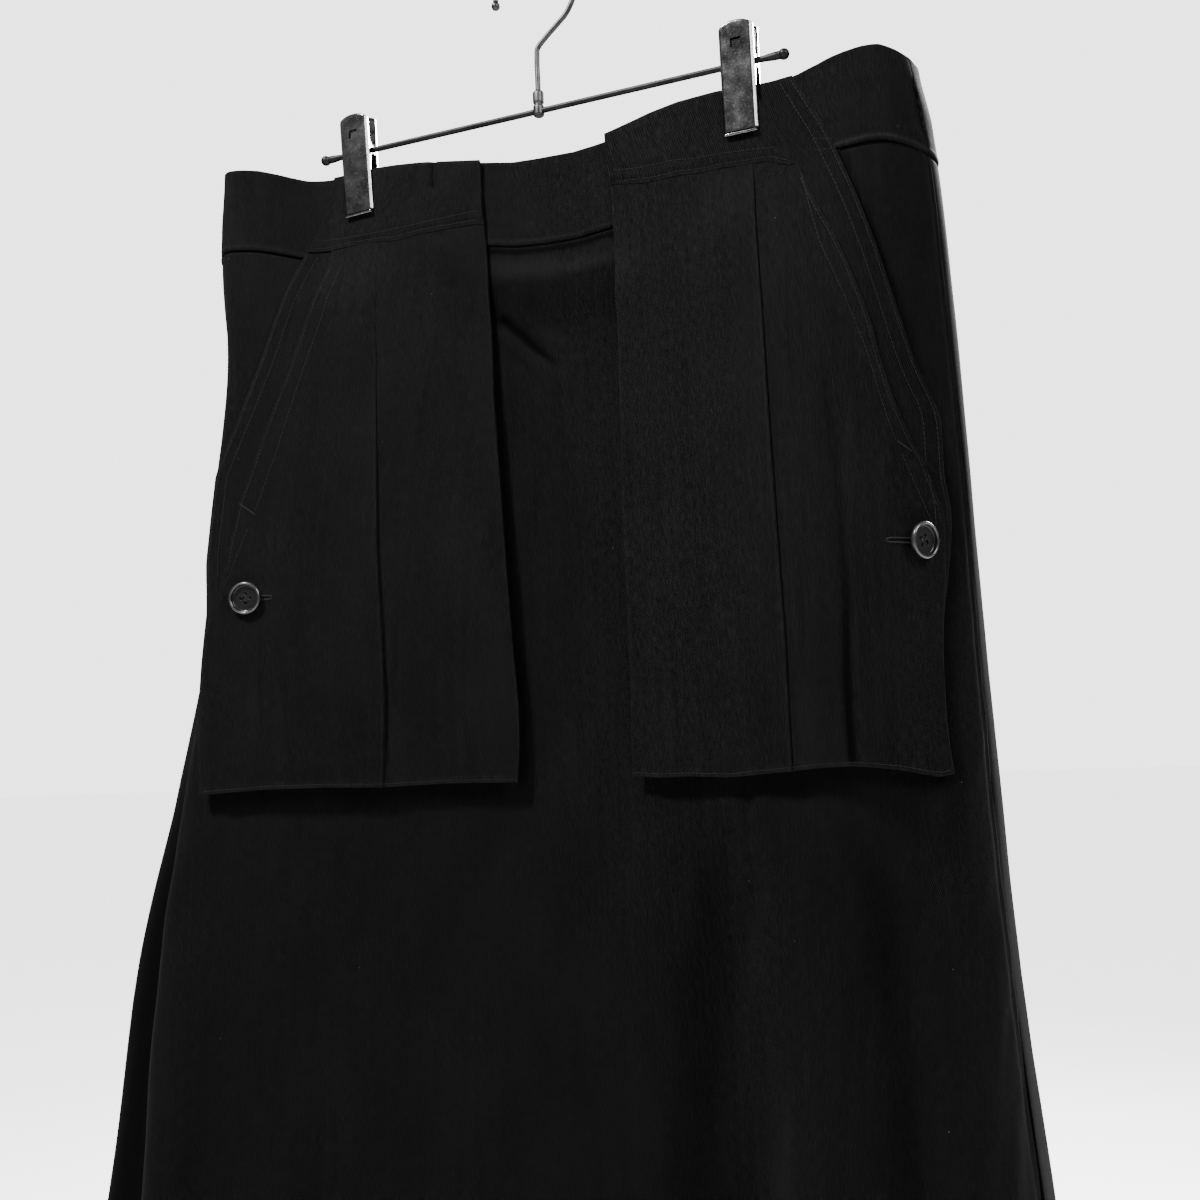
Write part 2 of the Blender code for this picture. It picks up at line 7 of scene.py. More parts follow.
import bmesh
import bpy
import numpy as np
from mathutils import Matrix, Vector
from mathutils.bvhtree import BVHTree


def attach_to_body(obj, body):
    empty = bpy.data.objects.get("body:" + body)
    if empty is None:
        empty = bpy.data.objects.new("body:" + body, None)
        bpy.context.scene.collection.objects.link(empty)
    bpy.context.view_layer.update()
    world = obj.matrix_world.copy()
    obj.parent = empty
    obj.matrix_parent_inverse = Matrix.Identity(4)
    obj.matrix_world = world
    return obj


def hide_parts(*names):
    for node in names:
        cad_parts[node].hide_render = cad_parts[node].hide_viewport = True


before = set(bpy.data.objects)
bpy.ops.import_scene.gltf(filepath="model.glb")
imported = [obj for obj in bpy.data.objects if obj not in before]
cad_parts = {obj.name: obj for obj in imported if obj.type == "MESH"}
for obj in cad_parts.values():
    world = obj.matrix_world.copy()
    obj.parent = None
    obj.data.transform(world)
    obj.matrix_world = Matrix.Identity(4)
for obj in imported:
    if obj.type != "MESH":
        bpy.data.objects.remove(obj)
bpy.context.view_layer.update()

# ---- hanger ----
ROD_DROP = 0.0989         # hook's rest point to the rod's axis
ROD_HALF = 0.1480
ROD_R = 0.0017
BALL_R = 0.0031
HOOK_WIRE_R = 0.0016
HOOK_R = 0.0265
CLIP_X = 0.1245
JAW_HALF = 0.0098

# ---- cloth, as in the solids ----
HOOK_DROP = 0.1249        # hook's rest point to the waist's top edge at centre front
PLY = 0.0010
GAP = 0.0003
PANEL_GAP = 0.0008
PANEL_STAND = 0.0055
BAND = 0.050
LENGTH = 0.830
HEM_ROW = LENGTH - 0.025  # depth of the hem's row of stitches
SKIRT_TOP = 0.0440        # where the skirt ends inside the waistband
PINCH = 0.0020
PINCH_Y = 0.5 * (2 * PLY + GAP + PANEL_GAP)
SEAM_U = 0.00015

# ---- fine cloth ----
TWILL = 0.0008            # thickness of one ply of the skirt's cloth
BAND_TWILL = 0.0014
UNDER_MID = 0.0004        # middles of the panel's plies above the panel's back
FACE_MID = 0.0012
YOKE_MID = 0.0020
PLY_TWILL = 0.0005
FOLD = 0.0090             # depth of the pleat in a panel
STITCH = 0.0027           # length of one stitch

# Plan sections of the cloth's outer face in mm: depth below the waist's top edge, then x and y
# of each station. Every row goes round the same stations: left side, left valley, left front
# crest, beside the left clip, left clip, left of centre, centre front, right of centre, right
# valley, right clip, right crease, right front crest, right side, then the back from right to
# left.
SECTIONS = (
    (0, -217, -9, -212, -20, -201, -27, -165, -12, -124, -1, -40, 3, 0, 4, 40, 2, 84, 0, 124, -1,
     165, -3, 197, -3, 214, 16, 208, 42, 170, 20, 124, 4, 60, 12, 0, 17, -60, 12, -124, 4,
     -165, 12, -200, 13),
    (50, -221, -5, -215, -20, -202, -29, -165, -16, -124, -6, -40, 4, 0, 7, 40, 4, 84, 0, 125, -5,
     165, -6, 199, 0, 221, 22, 213, 50, 176, 42, 128, 32, 60, 26, 0, 27, -60, 26, -128, 26,
     -170, 28, -205, 22),
    (120, -225, 4, -213, -14, -200, -31, -164, -22, -121, -8, -40, 10, 0, 14, 42, 8, 85, 0,
     128, -8, 166, -10, 199, 6, 223, 36, 214, 68, 180, 72, 134, 62, 60, 54, 0, 52, -60, 50,
     -134, 50, -176, 48, -212, 32),
    (200, -241, 12, -225, -8, -210, -34, -167, -26, -120, -8, -40, 14, 0, 20, 42, 12, 86, 1,
     130, -10, 168, -12, 202, 13, 225, 47, 215, 86, 182, 97, 138, 86, 60, 74, 0, 70, -60, 68,
     -138, 70, -184, 66, -225, 46),
    (280, -259, 19, -234, -6, -213, -36, -169, -28, -120, -8, -40, 17, 0, 24, 42, 14, 87, 2,
     132, -11, 170, -12, 203, 17, 226, 54, 216, 100, 186, 118, 142, 106, 60, 91, 0, 85, -60, 84,
     -144, 87, -194, 84, -240, 56),
    (370, -290, 27, -248, 0, -229, -40, -174, -31, -122, -9, -40, 20, 0, 26, 44, 14, 89, 6,
     135, -12, 173, -11, 206, 18, 228, 58, 218, 116, 188, 138, 146, 126, 64, 107, 0, 99, -64, 99,
     -152, 104, -208, 102, -262, 70),
    (480, -327, 31, -260, 8, -238, -54, -182, -40, -125, -18, -41, 14, 0, 22, 46, 18, 92, 15,
     139, -14, 181, 5, 209, 15, 232, 58, 222, 128, 194, 156, 152, 142, 70, 119, 0, 108, -70, 110,
     -164, 118, -228, 118, -290, 80),
    (600, -350, 35, -270, 12, -243, -61, -188, -46, -130, -24, -42, 6, 0, 14, 48, 18, 95, 21,
     144, -20, 187, 8, 217, 9, 241, 58, 231, 138, 202, 170, 160, 158, 75, 127, 0, 112, -75, 118,
     -178, 132, -246, 134, -314, 90),
    (720, -377, 40, -281, 16, -253, -67, -196, -50, -134, -28, -44, 0, 0, 8, 50, 18, 98, 25,
     150, -26, 195, 10, 227, 3, 252, 58, 238, 146, 210, 182, 168, 172, 80, 133, 0, 114, -80, 126,
     -190, 146, -264, 148, -338, 98),
    (830, -400, 43, -291, 18, -262, -71, -202, -52, -138, -30, -46, -4, 0, 4, 52, 18, 100, 27,
     155, -30, 202, 12, 236, -1, 263, 58, 247, 152, 217, 192, 174, 184, 85, 137, 0, 114, -85, 132,
     -200, 158, -280, 160, -360, 104),
)
SIDE_RIGHT = 12           # station of the right side seam; station 0 is the left one

# Lift of the waist edge at a distance from the middle, mm: the cloth sags between the clips.
LIFT = ((-222, 17), (-204, 19), (-186, 18), (-160, 12.5), (-140, 11.5), (-110, 11.5), (-81, 9.5),
        (-60, 6.5), (-39, 3), (-20, -0.5), (0, -1.7), (20, -2.5), (42, -1), (70, 5.5),
        (88, 8.6), (110, 10.5), (140, 10.5), (156, 11.5), (175, 15.5), (192, 18), (202, 18.5),
        (212, 16.5), (222, 14))
LIFT_FADE = 0.300         # depth at which the lift has died out

# Edges of the pocket panels on the body's face: depth and x, mm.
LEFT_INNER = ((0, -41), (27, -41), (50, -39), (73, -38), (141, -39.5), (238, -36.6),
              (283, -35.1), (323, -33.2), (348, -33.6), (368, -35.4))
LEFT_FACE = ((0, -140), (20, -143), (57, -144), (96, -154.7), (125, -163.9), (164, -178.1),
             (188, -185.6), (198, -190), (230, -197), (248, -200.5), (260, -206.5),
             (292, -211.3), (319, -213.3), (345, -213), (368, -212.2))
LEFT_UNDER = ((0, -142), (16, -147.6), (48, -159.9), (121, -180.9), (156, -194.1),
              (171, -200.6), (183, -205.8), (204, -208), (232, -210.6), (262, -209.5),
              (292, -212.3), (319, -214.3), (345, -214), (368, -213.2))
RIGHT_INNER = ((0, 42.5), (25, 43.9), (52, 44.5), (82, 45.8), (125, 44.6), (222, 43.6),
               (264, 44.5), (318, 44.9), (368, 43.6))
RIGHT_FACE = ((0, 131.5), (6, 134.3), (30, 145.7), (41, 151.8), (56, 158), (77, 165.3),
              (98, 174.3), (118, 181), (138, 186.4), (160, 190.1), (179, 193.8), (200, 200.5),
              (210, 205), (221, 207.7), (233, 210.8), (239, 211.4), (270, 209.6), (287, 207.6),
              (309, 206.6), (339, 206.6), (355, 207.4), (368, 208.6))
RIGHT_UNDER = ((0, 154), (6, 157), (35, 170.8), (55, 178.1), (76, 185.3), (101, 192.4),
               (126, 198.1), (145, 202.2), (161, 205.8), (173, 209.8), (182, 213.2),
               (190, 214.2), (218, 213.5), (232, 215), (244, 214.6), (259, 212.9),
               (272, 211), (289, 208.7), (309, 207.5), (339, 207.5), (355, 208.3), (368, 209.5))


def smooth(lo, hi, v):
    """Smooth ramp from 0 at lo to 1 at hi."""
    t = np.clip((v - lo) / (hi - lo), 0.0, 1.0)
    return t * t * (3.0 - 2.0 * t)


def fall(lo, hi, v):
    """Smooth ramp from 1 at lo to 0 at hi."""
    return 1.0 - smooth(lo, hi, v)


def bell(v, centre, width):
    return np.exp(-((v - centre) / width) ** 2)


def unit(v):
    return v / np.maximum(np.linalg.norm(v, axis=-1, keepdims=True), 1e-12)


def lookup(table, at):
    """Value of a table of pairs in mm at places in m, in m."""
    return np.interp(np.asarray(at) * 1000.0, *np.transpose(table)) / 1000.0


def rowwise(at, rows_from, rows_to):
    """Values at places on each row, read between the row's own points."""
    return np.array([np.interp(*row) for row in zip(at, rows_from, rows_to)])


def distances(points, axis=0):
    """Distance from the first point, along an axis of a line or grid of points."""
    run = np.cumsum(np.linalg.norm(np.diff(points, axis=axis), axis=-1), axis=axis)
    return np.concatenate((np.zeros_like(run.take([0], axis=axis)), run), axis=axis)


DEPTHS = np.array([row[0] for row in SECTIONS]) / 1000.0
PLAN = np.array([row[1:] for row in SECTIONS], float).reshape(len(SECTIONS), -1, 2) / 1000.0
STATIONS = PLAN.shape[1]


def knots():
    """Spacing of the stations round the body: mean chord over all sections, as a share."""
    chord = np.linalg.norm(np.roll(PLAN, -1, axis=1) - PLAN, axis=2).mean(axis=0)
    return np.concatenate(([0.0], np.cumsum(chord))) / chord.sum()


KNOTS = knots()
U_RIGHT = KNOTS[SIDE_RIGHT]


def hermite(p0, p1, m0, m1, h, t):
    """Cubic through p0 and p1 with slopes m0 and m1 over a span h."""
    t2 = t * t
    t3 = t2 * t
    return ((2 * t3 - 3 * t2 + 1) * p0 + (t3 - 2 * t2 + t) * h * m0
            + (3 * t2 - 2 * t3) * p1 + (t3 - t2) * h * m1)


def round_slopes():
    """Slope along the round at every station of every section."""
    h = np.diff(KNOTS)
    hb = np.roll(h, 1)
    ahead = (np.roll(PLAN, -1, axis=1) - PLAN) / h[None, :, None]
    behind = np.roll(ahead, 1, axis=1)
    return (ahead * hb[None, :, None] + behind * h[None, :, None]) / (h + hb)[None, :, None]


SLOPES = round_slopes()


def plan_rows(u):
    """(x, y) on every section at the round positions u: array (sections, len(u), 2)."""
    u = np.mod(u, 1.0)
    i = np.clip(np.searchsorted(KNOTS, u, side="right") - 1, 0, STATIONS - 1)
    j = (i + 1) % STATIONS
    h = KNOTS[i + 1] - KNOTS[i]
    t = (u - KNOTS[i]) / h
    return hermite(PLAN[:, i], PLAN[:, j], SLOPES[:, i], SLOPES[:, j],
                   h[None, :, None], t[None, :, None])


def down_slopes(rows):
    """Slope down the body at every section."""
    h = np.diff(DEPTHS)
    step = (rows[1:] - rows[:-1]) / h[:, None, None]
    inner = (step[:-1] * h[1:, None, None] + step[1:] * h[:-1, None, None])
    inner = inner / (h[1:] + h[:-1])[:, None, None]
    return np.concatenate((step[:1], inner, step[-1:]))


def body(u, depth):
    """Points on the cloth's outer face: u round the body, depth below the waist edge."""
    u = np.asarray(u, float).ravel()
    depth = np.asarray(depth, float).ravel()
    rows = plan_rows(u)
    slope = down_slopes(rows)
    k = np.clip(np.searchsorted(DEPTHS, depth, side="right") - 1, 0, len(DEPTHS) - 2)
    n = np.arange(len(u))
    h = (DEPTHS[k + 1] - DEPTHS[k])[:, None]
    t = ((depth - DEPTHS[k])[:, None]) / h
    xy = hermite(rows[k, n], rows[k + 1, n], slope[k, n], slope[k + 1, n], h, t)
    x, y = xy[:, 0], xy[:, 1]
    front = np.where(np.mod(u, 1.0) < U_RIGHT, -1.0, 1.0)
    grip = fall(0.019, 0.055, np.abs(np.abs(x) - CLIP_X))
    grip = grip * fall(0.034, 0.085, depth)
    y = y + (PINCH_Y + front * PINCH - y) * grip
    lift = lookup(LIFT, x) * fall(0.0, LIFT_FADE, depth)
    return np.stack((x, y, -HOOK_DROP - depth + lift), axis=1)


def normals(u, depth):
    """Outward unit normals of the body."""
    du, dz = 1e-4, 1e-4
    across = body(np.add(u, du), depth) - body(np.subtract(u, du), depth)
    down = body(u, np.add(depth, dz)) - body(u, np.subtract(depth, dz))
    n = np.cross(down, across)
    return n / np.linalg.norm(n, axis=1)[:, None]


def front_u(x, depth):
    """Round position on the front where the body's outer face reaches x, by halving."""
    x = np.asarray(x, float).ravel()
    depth = np.broadcast_to(np.asarray(depth, float).ravel(), x.shape)
    low = np.zeros_like(x)
    high = np.full_like(x, U_RIGHT)
    for _ in range(30):
        mid = (low + high) / 2.0
        under = body(mid, depth)[:, 0] < x
        low = np.where(under, mid, low)
        high = np.where(under, high, mid)
    return (low + high) / 2.0


def panel_off(depth):
    """Stand-off of a pocket panel from the body: snug at the waist, free at the bottom."""
    return PANEL_GAP + PANEL_STAND * smooth(0.030, 0.300, np.asarray(depth, float))


def place(u, depth, off=0.0):
    """Points at a height above the body's outer face, in the shape of the inputs."""
    u, depth, off = np.broadcast_arrays(u, depth, off)
    at = body(u, depth) + normals(u, depth) * off.ravel()[:, None]
    return at.reshape(u.shape + (3,))


def spread(low, high, count, focus=()):
    """Values from low to high, closer together round each focus (centre, width, gain)."""
    t = np.linspace(low, high, 3000)
    density = np.ones_like(t)
    for centre, width, gain in focus:
        density += gain * np.exp(-((t - centre) / width) ** 2)
    total = np.concatenate(([0.0], np.cumsum(0.5 * (density[1:] + density[:-1]))))
    return np.interp(np.linspace(0.0, total[-1], count), total, t)


def wrinkle(a, b, size_a, size_b, seed, waves=24):
    """Smooth noise of unit strength whose features have the given sizes."""
    rng = np.random.default_rng(seed)
    ka = rng.normal(0.0, math.pi / size_a, waves)
    kb = rng.normal(0.0, math.pi / size_b, waves)
    shift = rng.uniform(0.0, 2.0 * math.pi, waves)
    total = sum(np.cos(p * a + q * b + s) for p, q, s in zip(ka, kb, shift))
    return total * math.sqrt(2.0 / waves)


def near_line(x, depth, line):
    """Distance from a polyline of (x, depth) in mm, and the share along it, for points in m."""
    best = np.full(np.shape(x), 1e9)
    share = np.zeros(np.shape(x))
    line = np.array(line, float) / 1000.0
    for k in range(len(line) - 1):
        run = line[k + 1] - line[k]
        t = ((x - line[k, 0]) * run[0] + (depth - line[k, 1]) * run[1]) / (run @ run)
        t = np.clip(t, 0.0, 1.0)
        away = np.hypot(x - line[k, 0] - t * run[0], depth - line[k, 1] - t * run[1])
        nearer = away < best
        best = np.where(nearer, away, best)
        share = np.where(nearer, (k + t) / (len(line) - 1), share)
    return best, share


def by_line(x, depth, line, width):
    """Bell of a width in m about a polyline of (x, depth) in mm."""
    return bell(near_line(x, depth, line)[0], 0.0, width)


def make_object(name, points, faces, mat, uv=None, wear_and_painted_light=None):
    """Smooth shaded mesh object."""
    mesh = bpy.data.meshes.new(name)
    mesh.from_pydata(np.asarray(points, float).tolist(), [], faces)
    mesh.polygons.foreach_set("use_smooth", [True] * len(mesh.polygons))
    if uv is not None:
        layer = mesh.uv_layers.new(name="cloth")
        corner = np.empty(len(mesh.loops), np.int32)
        mesh.loops.foreach_get("vertex_index", corner)
        layer.data.foreach_set("uv", np.asarray(uv, np.float32)[corner].ravel())
    # Per-point attribute that carries edge wear, and also painted light and shade, into the cloth's
    # colour.
    if wear_and_painted_light is not None:
        layer = mesh.attributes.new("wear_and_painted_light", "FLOAT", "POINT")
        layer.data.foreach_set("value", np.asarray(wear_and_painted_light, np.float32))
    mesh.materials.append(mat)
    mesh.update()
    ob = bpy.data.objects.new(name, mesh)
    bpy.context.scene.collection.objects.link(ob)
    return ob


def attach(ob, slot, *nodes):
    """Ride the one body and stand for the nodes, whose solids are hidden; slot is not used."""
    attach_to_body(ob, "root")
    if nodes:
        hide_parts(*nodes)
    return ob


def cloth_uv(mid, origin):
    """Cloth coordinates in metres: along each row from the origin column, and up."""
    u = distances(mid, 1)
    return np.stack((u - u[:, origin:origin + 1], -distances(mid)), axis=2)


def shell(name, mid, thick, mat, origin=0, wear_and_painted_light=None):
    """Cloth of even thickness round a grid of middle points, with rounded edges.

    Rows run down and columns run anticlockwise as seen from above.
    """
    rows, cols = mid.shape[:2]
    along = unit(np.gradient(mid, axis=1))
    down = unit(np.gradient(mid, axis=0))
    out = unit(np.cross(down, along))
    edge = np.zeros_like(mid)
    edge[:, 0] -= along[:, 0]
    edge[:, -1] += along[:, -1]
    edge[0] -= down[0]
    edge[-1] += down[-1]
    mid_list, out_list, edge_list = [v.reshape(-1, 3) for v in (mid, out, edge)]
    count = rows * cols
    index = np.arange(count).reshape(rows, cols)
    loop = np.concatenate((index[:-1, 0], index[-1, :-1], index[:0:-1, -1], index[0, :0:-1]))
    r = 0.5 * thick
    points = [mid_list + r * out_list, mid_list - r * out_list]
    rings = [loop]
    for k, deg in enumerate((45, 90, 135)):
        t = math.radians(deg)
        points.append((mid_list + r * (math.cos(t) * out_list + math.sin(t) * edge_list))[loop])
        rings.append(2 * count + k * len(loop) + np.arange(len(loop)))
    rings.append(count + loop)
    a, b = index[:-1, :-1].ravel(), index[1:, :-1].ravel()
    faces = [np.stack((a, b, b + 1, a + 1), axis=1),
             count + np.stack((a, a + 1, b + 1, b), axis=1)]
    for low, high in zip(rings, rings[1:]):
        faces.append(np.stack((np.roll(low, -1), low, high, np.roll(high, -1)), axis=1))
    uv = cloth_uv(mid, origin).reshape(-1, 2)
    uv = np.concatenate([uv, uv] + [uv[loop]] * 3)
    if wear_and_painted_light is not None:
        wear_and_painted_light = np.asarray(wear_and_painted_light, float).ravel()
        wear_and_painted_light = np.concatenate([wear_and_painted_light, wear_and_painted_light] + [wear_and_painted_light[loop]] * 3)
    return make_object(name, np.concatenate(points), np.concatenate(faces).tolist(), mat, uv, wear_and_painted_light)


def tube(name, path, radius, mat, sides=16, closed=False):
    """Round wire along a path, with closed ends. radius is one number or one for each point."""
    path = np.asarray(path, float)
    radius = np.broadcast_to(radius, len(path))
    run = unit(np.gradient(path, axis=0))
    if closed:
        run = unit(np.roll(path, -1, axis=0) - np.roll(path, 1, axis=0))
    side = np.cross(run[0], (0.31, 0.87, 0.39))
    points, rings = [], []
    for k, (at, way, r) in enumerate(zip(path, run, radius)):
        side = unit(side - way * (side @ way))
        other = np.cross(way, side)
        t = 2 * math.pi * np.arange(sides) / sides
        points.append(at + r * (np.outer(np.cos(t), side) + np.outer(np.sin(t), other)))
        rings.append(k * sides + np.arange(sides))
    pairs = list(zip(rings, rings[1:]))
    faces = []
    if closed:
        turn = np.argmin(np.linalg.norm(points[0] - points[-1][0], axis=1))
        pairs.append((rings[-1], np.roll(rings[0], -turn)))
    for low, high in pairs:
        faces += np.stack((low, np.roll(low, -1), np.roll(high, -1), high), axis=1).tolist()
    if not closed:
        faces.append(rings[0][::-1].tolist())
        faces.append(rings[-1].tolist())
    return make_object(name, np.concatenate(points), faces, mat)


def lathe(name, profile, segments, frame_at, mat):
    """Turn (radius, height) points about an axis; frame_at is (origin, x, y, axis)."""
    origin, ax, ay, az = [np.array(v, float) for v in frame_at]
    points, rings = [], []
    for r, h in profile:
        count = segments if r > 1e-9 else 1
        t = 2 * math.pi * np.arange(count) / segments
        rings.append(len(points) + np.arange(count))
        points += list(origin + az * h + r * (np.outer(np.cos(t), ax) + np.outer(np.sin(t), ay)))
    faces = []
    for low, high in zip(rings, rings[1:]):
        for k in range(segments):
            n = (k + 1) % segments
            if len(low) == 1 and len(high) == 1:
                continue
            if len(low) == 1:
                faces.append((low[0], high[n], high[k]))
            elif len(high) == 1:
                faces.append((low[k], low[n], high[0]))
            else:
                faces.append((low[k], low[n], high[n], high[k]))
    return make_object(name, np.array(points), [tuple(map(int, f)) for f in faces], mat)


def round_profile(corners, radius, steps=5):
    """A (radius, height) profile with its inner corners rounded."""
    corners = [np.array(c, float) for c in corners]
    out = [corners[0]]
    for a, b, c in zip(corners, corners[1:], corners[2:]):
        r = min(radius, 0.45 * np.linalg.norm(a - b), 0.45 * np.linalg.norm(c - b))
        start, end = b + unit(a - b) * r, b + unit(c - b) * r
        for t in np.linspace(0.0, 1.0, steps):
            out.append((1 - t) ** 2 * start + 2 * t * (1 - t) * b + t * t * end)
    out.append(corners[-1])
    return [tuple(p) for p in out]


def merged(obs):
    """Points and faces of several objects together."""
    points, faces, at = [], [], 0
    for ob in obs:
        mesh = ob.data
        co = np.empty(len(mesh.vertices) * 3)
        mesh.vertices.foreach_get("co", co)
        points.append(co.reshape(-1, 3))
        faces += [tuple(v + at for v in p.vertices) for p in mesh.polygons]
        at += len(mesh.vertices)
    return np.concatenate(points), faces


def join(name, parts):
    """Several objects made into one, under the first one's material."""
    points, faces = merged(parts)
    mat = parts[0].data.materials[0]
    for ob in parts:
        old = ob.data
        bpy.data.objects.remove(ob, do_unlink=True)
        bpy.data.meshes.remove(old)
    return make_object(name, points, faces, mat)


def settle(ob):
    """The object's modifiers worked into its mesh."""
    graph = bpy.context.evaluated_depsgraph_get()
    mesh = bpy.data.meshes.new_from_object(ob.evaluated_get(graph))
    ob.modifiers.clear()
    ob.data = mesh


def face_outward(ob, crease=None):
    """Faces turned outward, and edges sharper than an angle shaded as edges."""
    mesh = bmesh.new()
    mesh.from_mesh(ob.data)
    bmesh.ops.recalc_face_normals(mesh, faces=mesh.faces)
    for e in mesh.edges if crease else ():
        e.smooth = len(e.link_faces) != 2 or e.calc_face_angle(0.0) < crease
    mesh.to_mesh(ob.data)
    mesh.free()


# ---- materials ----

def node(tree, kind, inputs=None, **settings):
    made = tree.nodes.new(kind)
    for key, value in settings.items():
        setattr(made, key, value)
    for key, value in (inputs or {}).items():
        if isinstance(value, bpy.types.NodeSocket):
            tree.links.new(value, made.inputs[key])
        else:
            made.inputs[key].default_value = value
    return made


class Finish:
    """A new material, and short calls for its nodes."""

    def __init__(self, name, coordinates):
        self.mat = bpy.data.materials.new(name)
        self.mat.use_nodes = True
        self.tree = self.mat.node_tree
        self.at = self.node("ShaderNodeTexCoord").outputs[coordinates]

    def node(self, kind, inputs=None, **settings):
        return node(self.tree, kind, inputs, **settings)

    def math(self, operation, a, b=0.0, c=0.0, clamp=False):
        made = self.node("ShaderNodeMath", {0: a, 1: b, 2: c}, operation=operation)
        made.use_clamp = clamp
        return made.outputs[0]

    def total(self, start, *terms):
        """start plus each (socket, factor)."""
        for socket, factor in terms:
            start = self.math("MULTIPLY_ADD", socket, factor, start)
        return start

    def noise(self, at, scale=1.0, detail=2.0, rough=0.5):
        return self.node("ShaderNodeTexNoise", {"Vector": at, "Scale": scale, "Detail": detail,
                                                "Roughness": rough}).outputs["Fac"]

    def mix(self, share, a, b):
        """Colour from a to b. Each is a socket, a grey or an (r, g, b)."""
        made = self.node("ShaderNodeMix", {"Factor": share}, data_type="RGBA")
        for socket, value in zip([s for s in made.inputs if s.type == "RGBA"], (a, b)):
            if isinstance(value, bpy.types.NodeSocket):
                self.tree.links.new(value, socket)
            else:
                socket.default_value = tuple(np.broadcast_to(value, 3)) + (1.0,)
        return [s for s in made.outputs if s.type == "RGBA"][0]

    def shade(self, lump=None, **values):
        """Sets the shader's sockets: "_" for a space; lump is (strength, distance, height)."""
        shader = self.tree.nodes["Principled BSDF"]
        if lump:
            names = ("Strength", "Distance", "Height")
            values["Normal"] = self.node("ShaderNodeBump", dict(zip(names, lump))).outputs[0]
        for key, value in values.items():
            socket = shader.inputs[key.replace("_", " ")]
            if isinstance(value, bpy.types.NodeSocket):
                self.tree.links.new(value, socket)
            else:
                socket.default_value = value
        return self.mat


# Ribs of the twill: turns a metre across and up the cloth.
RIBS_ACROSS, RIBS_UP = 862.0 * 2 * math.pi, -507.0 * 2 * math.pi
LINT_CELLS, LINT_SIZE, LINT_RARITY, LINT = 62.0, 0.020, 0.985, 0.050


def twill(name, light, seed):
    """Black cotton twill: diagonal ribs a millimetre apart, uneven yarn and soft patches."""
    f = Finish(name, "UV")
    split = f.node("ShaderNodeSeparateXYZ", {0: f.at})
    u, v = split.outputs[0], split.outputs[1]

    def yarn(across, up, shift, detail=2.0, rough=0.5):
        """Noise with this many features a metre across and up the cloth."""
        at = {0: f.math("MULTIPLY", u, across), 1: f.math("MULTIPLY", v, up), 2: seed + shift}
        return f.noise(f.node("ShaderNodeCombineXYZ", at).outputs[0], 1.0, detail, rough)

    sway = yarn(55.0, 30.0, 0.0, 1.0)
    phase = f.total(f.math("MULTIPLY", u, RIBS_ACROSS), (v, RIBS_UP), (sway, 7.0))
    ribs = f.math("MULTIPLY_ADD", f.math("SINE", phase), 0.5, 0.5)
    slub = yarn(1400.0, 190.0, 3.1, rough=0.6)
    grain = yarn(900.0, 1500.0, 5.7)
    streak = yarn(420.0, 16.0, 8.3)
    patch = yarn(22.0, 11.0, 11.9, 3.0, 0.55)
    # The vertex attribute read here lightens and darkens the cloth's colour. It carries edge wear,
    # and also painted shade, painted shadows, a painted light band and a painted highlight.
    wear_and_painted_light = f.node("ShaderNodeAttribute", attribute_name="wear_and_painted_light").outputs["Fac"]
    share = f.total(ribs, (slub, 1.70), (grain, 0.80), (streak, 0.45), (patch, 0.40), (wear_and_painted_light, 0.30))
    colour = f.mix(f.math("SUBTRACT", share, 1.90, clamp=True), 0.0004, light)
    at = f.node("ShaderNodeCombineXYZ", {0: f.math("ADD", u, seed), 1: v}).outputs[0]
    cells = f.node("ShaderNodeTexVoronoi", {"Vector": at, "Scale": LINT_CELLS},
                   voronoi_dimensions="2D")
    pick = f.node("ShaderNodeSeparateXYZ", {0: cells.outputs["Color"]}).outputs[0]
    lint = f.math("MULTIPLY", f.math("LESS_THAN", cells.outputs["Distance"], LINT_SIZE),
                  f.math("GREATER_THAN", pick, LINT_RARITY))
    colour = f.mix(f.math("MULTIPLY", lint, 0.8), colour, LINT)
    height = f.total(f.math("MULTIPLY", ribs, 0.60), (slub, 0.55), (grain, 0.40))
    return f.shade((0.75, 0.00016, height), Base_Color=colour,
                   Roughness=f.total(0.80, (slub, 0.16)), Specular_IOR_Level=0.02,
                   Sheen_Weight=0.02, Sheen_Roughness=0.45, Sheen_Tint=(0.55, 0.55, 0.56, 1.0))


def thread(name, colour):
    """Twisted sewing thread."""
    f = Finish(name, "Object")
    fuzz, patch = f.noise(f.at, 5200.0), f.noise(f.at, 60.0)
    share = f.math("MULTIPLY_ADD", fuzz, 0.7, f.math("MULTIPLY", patch, 0.5), clamp=True)
    return f.shade((0.6, 0.00008, fuzz), Base_Color=f.mix(share, 0.45 * colour, colour),
                   Roughness=0.62, Sheen_Weight=0.02, Specular_IOR_Level=0.05)


def metal(name, dark, light, rough, spots=0.0, edge=1.0):
    """Plated steel with faint orange peel, handling haze and small pits; edge tints its rim."""
    f = Finish(name, "Object")
    haze = f.noise(f.at, 95.0, 4.0, 0.6)
    fine = f.noise(f.at, 900.0, 3.0, 0.6)
    pits = f.noise(f.at, 1050.0, 2.0, 0.7)
    colour = f.mix(f.math("MULTIPLY_ADD", haze, 1.7, -0.35, clamp=True), dark, light)
    if spots:
        worn = f.math("MULTIPLY", f.math("SUBTRACT", pits, 0.56), 9.0, clamp=True)
        colour = f.mix(f.math("MULTIPLY", worn, spots), colour, 4.0 * np.array(light) + 0.03)
    blur = f.math("MULTIPLY_ADD", fine, 0.10, f.total(rough - 0.06, (haze, 0.22)), clamp=True)
    return f.shade((0.55, 0.00002, f.total(fine, (pits, 0.5))), Base_Color=colour, Metallic=1.0,
                   Specular_Tint=(edge, edge, edge, 1.0), Roughness=blur)


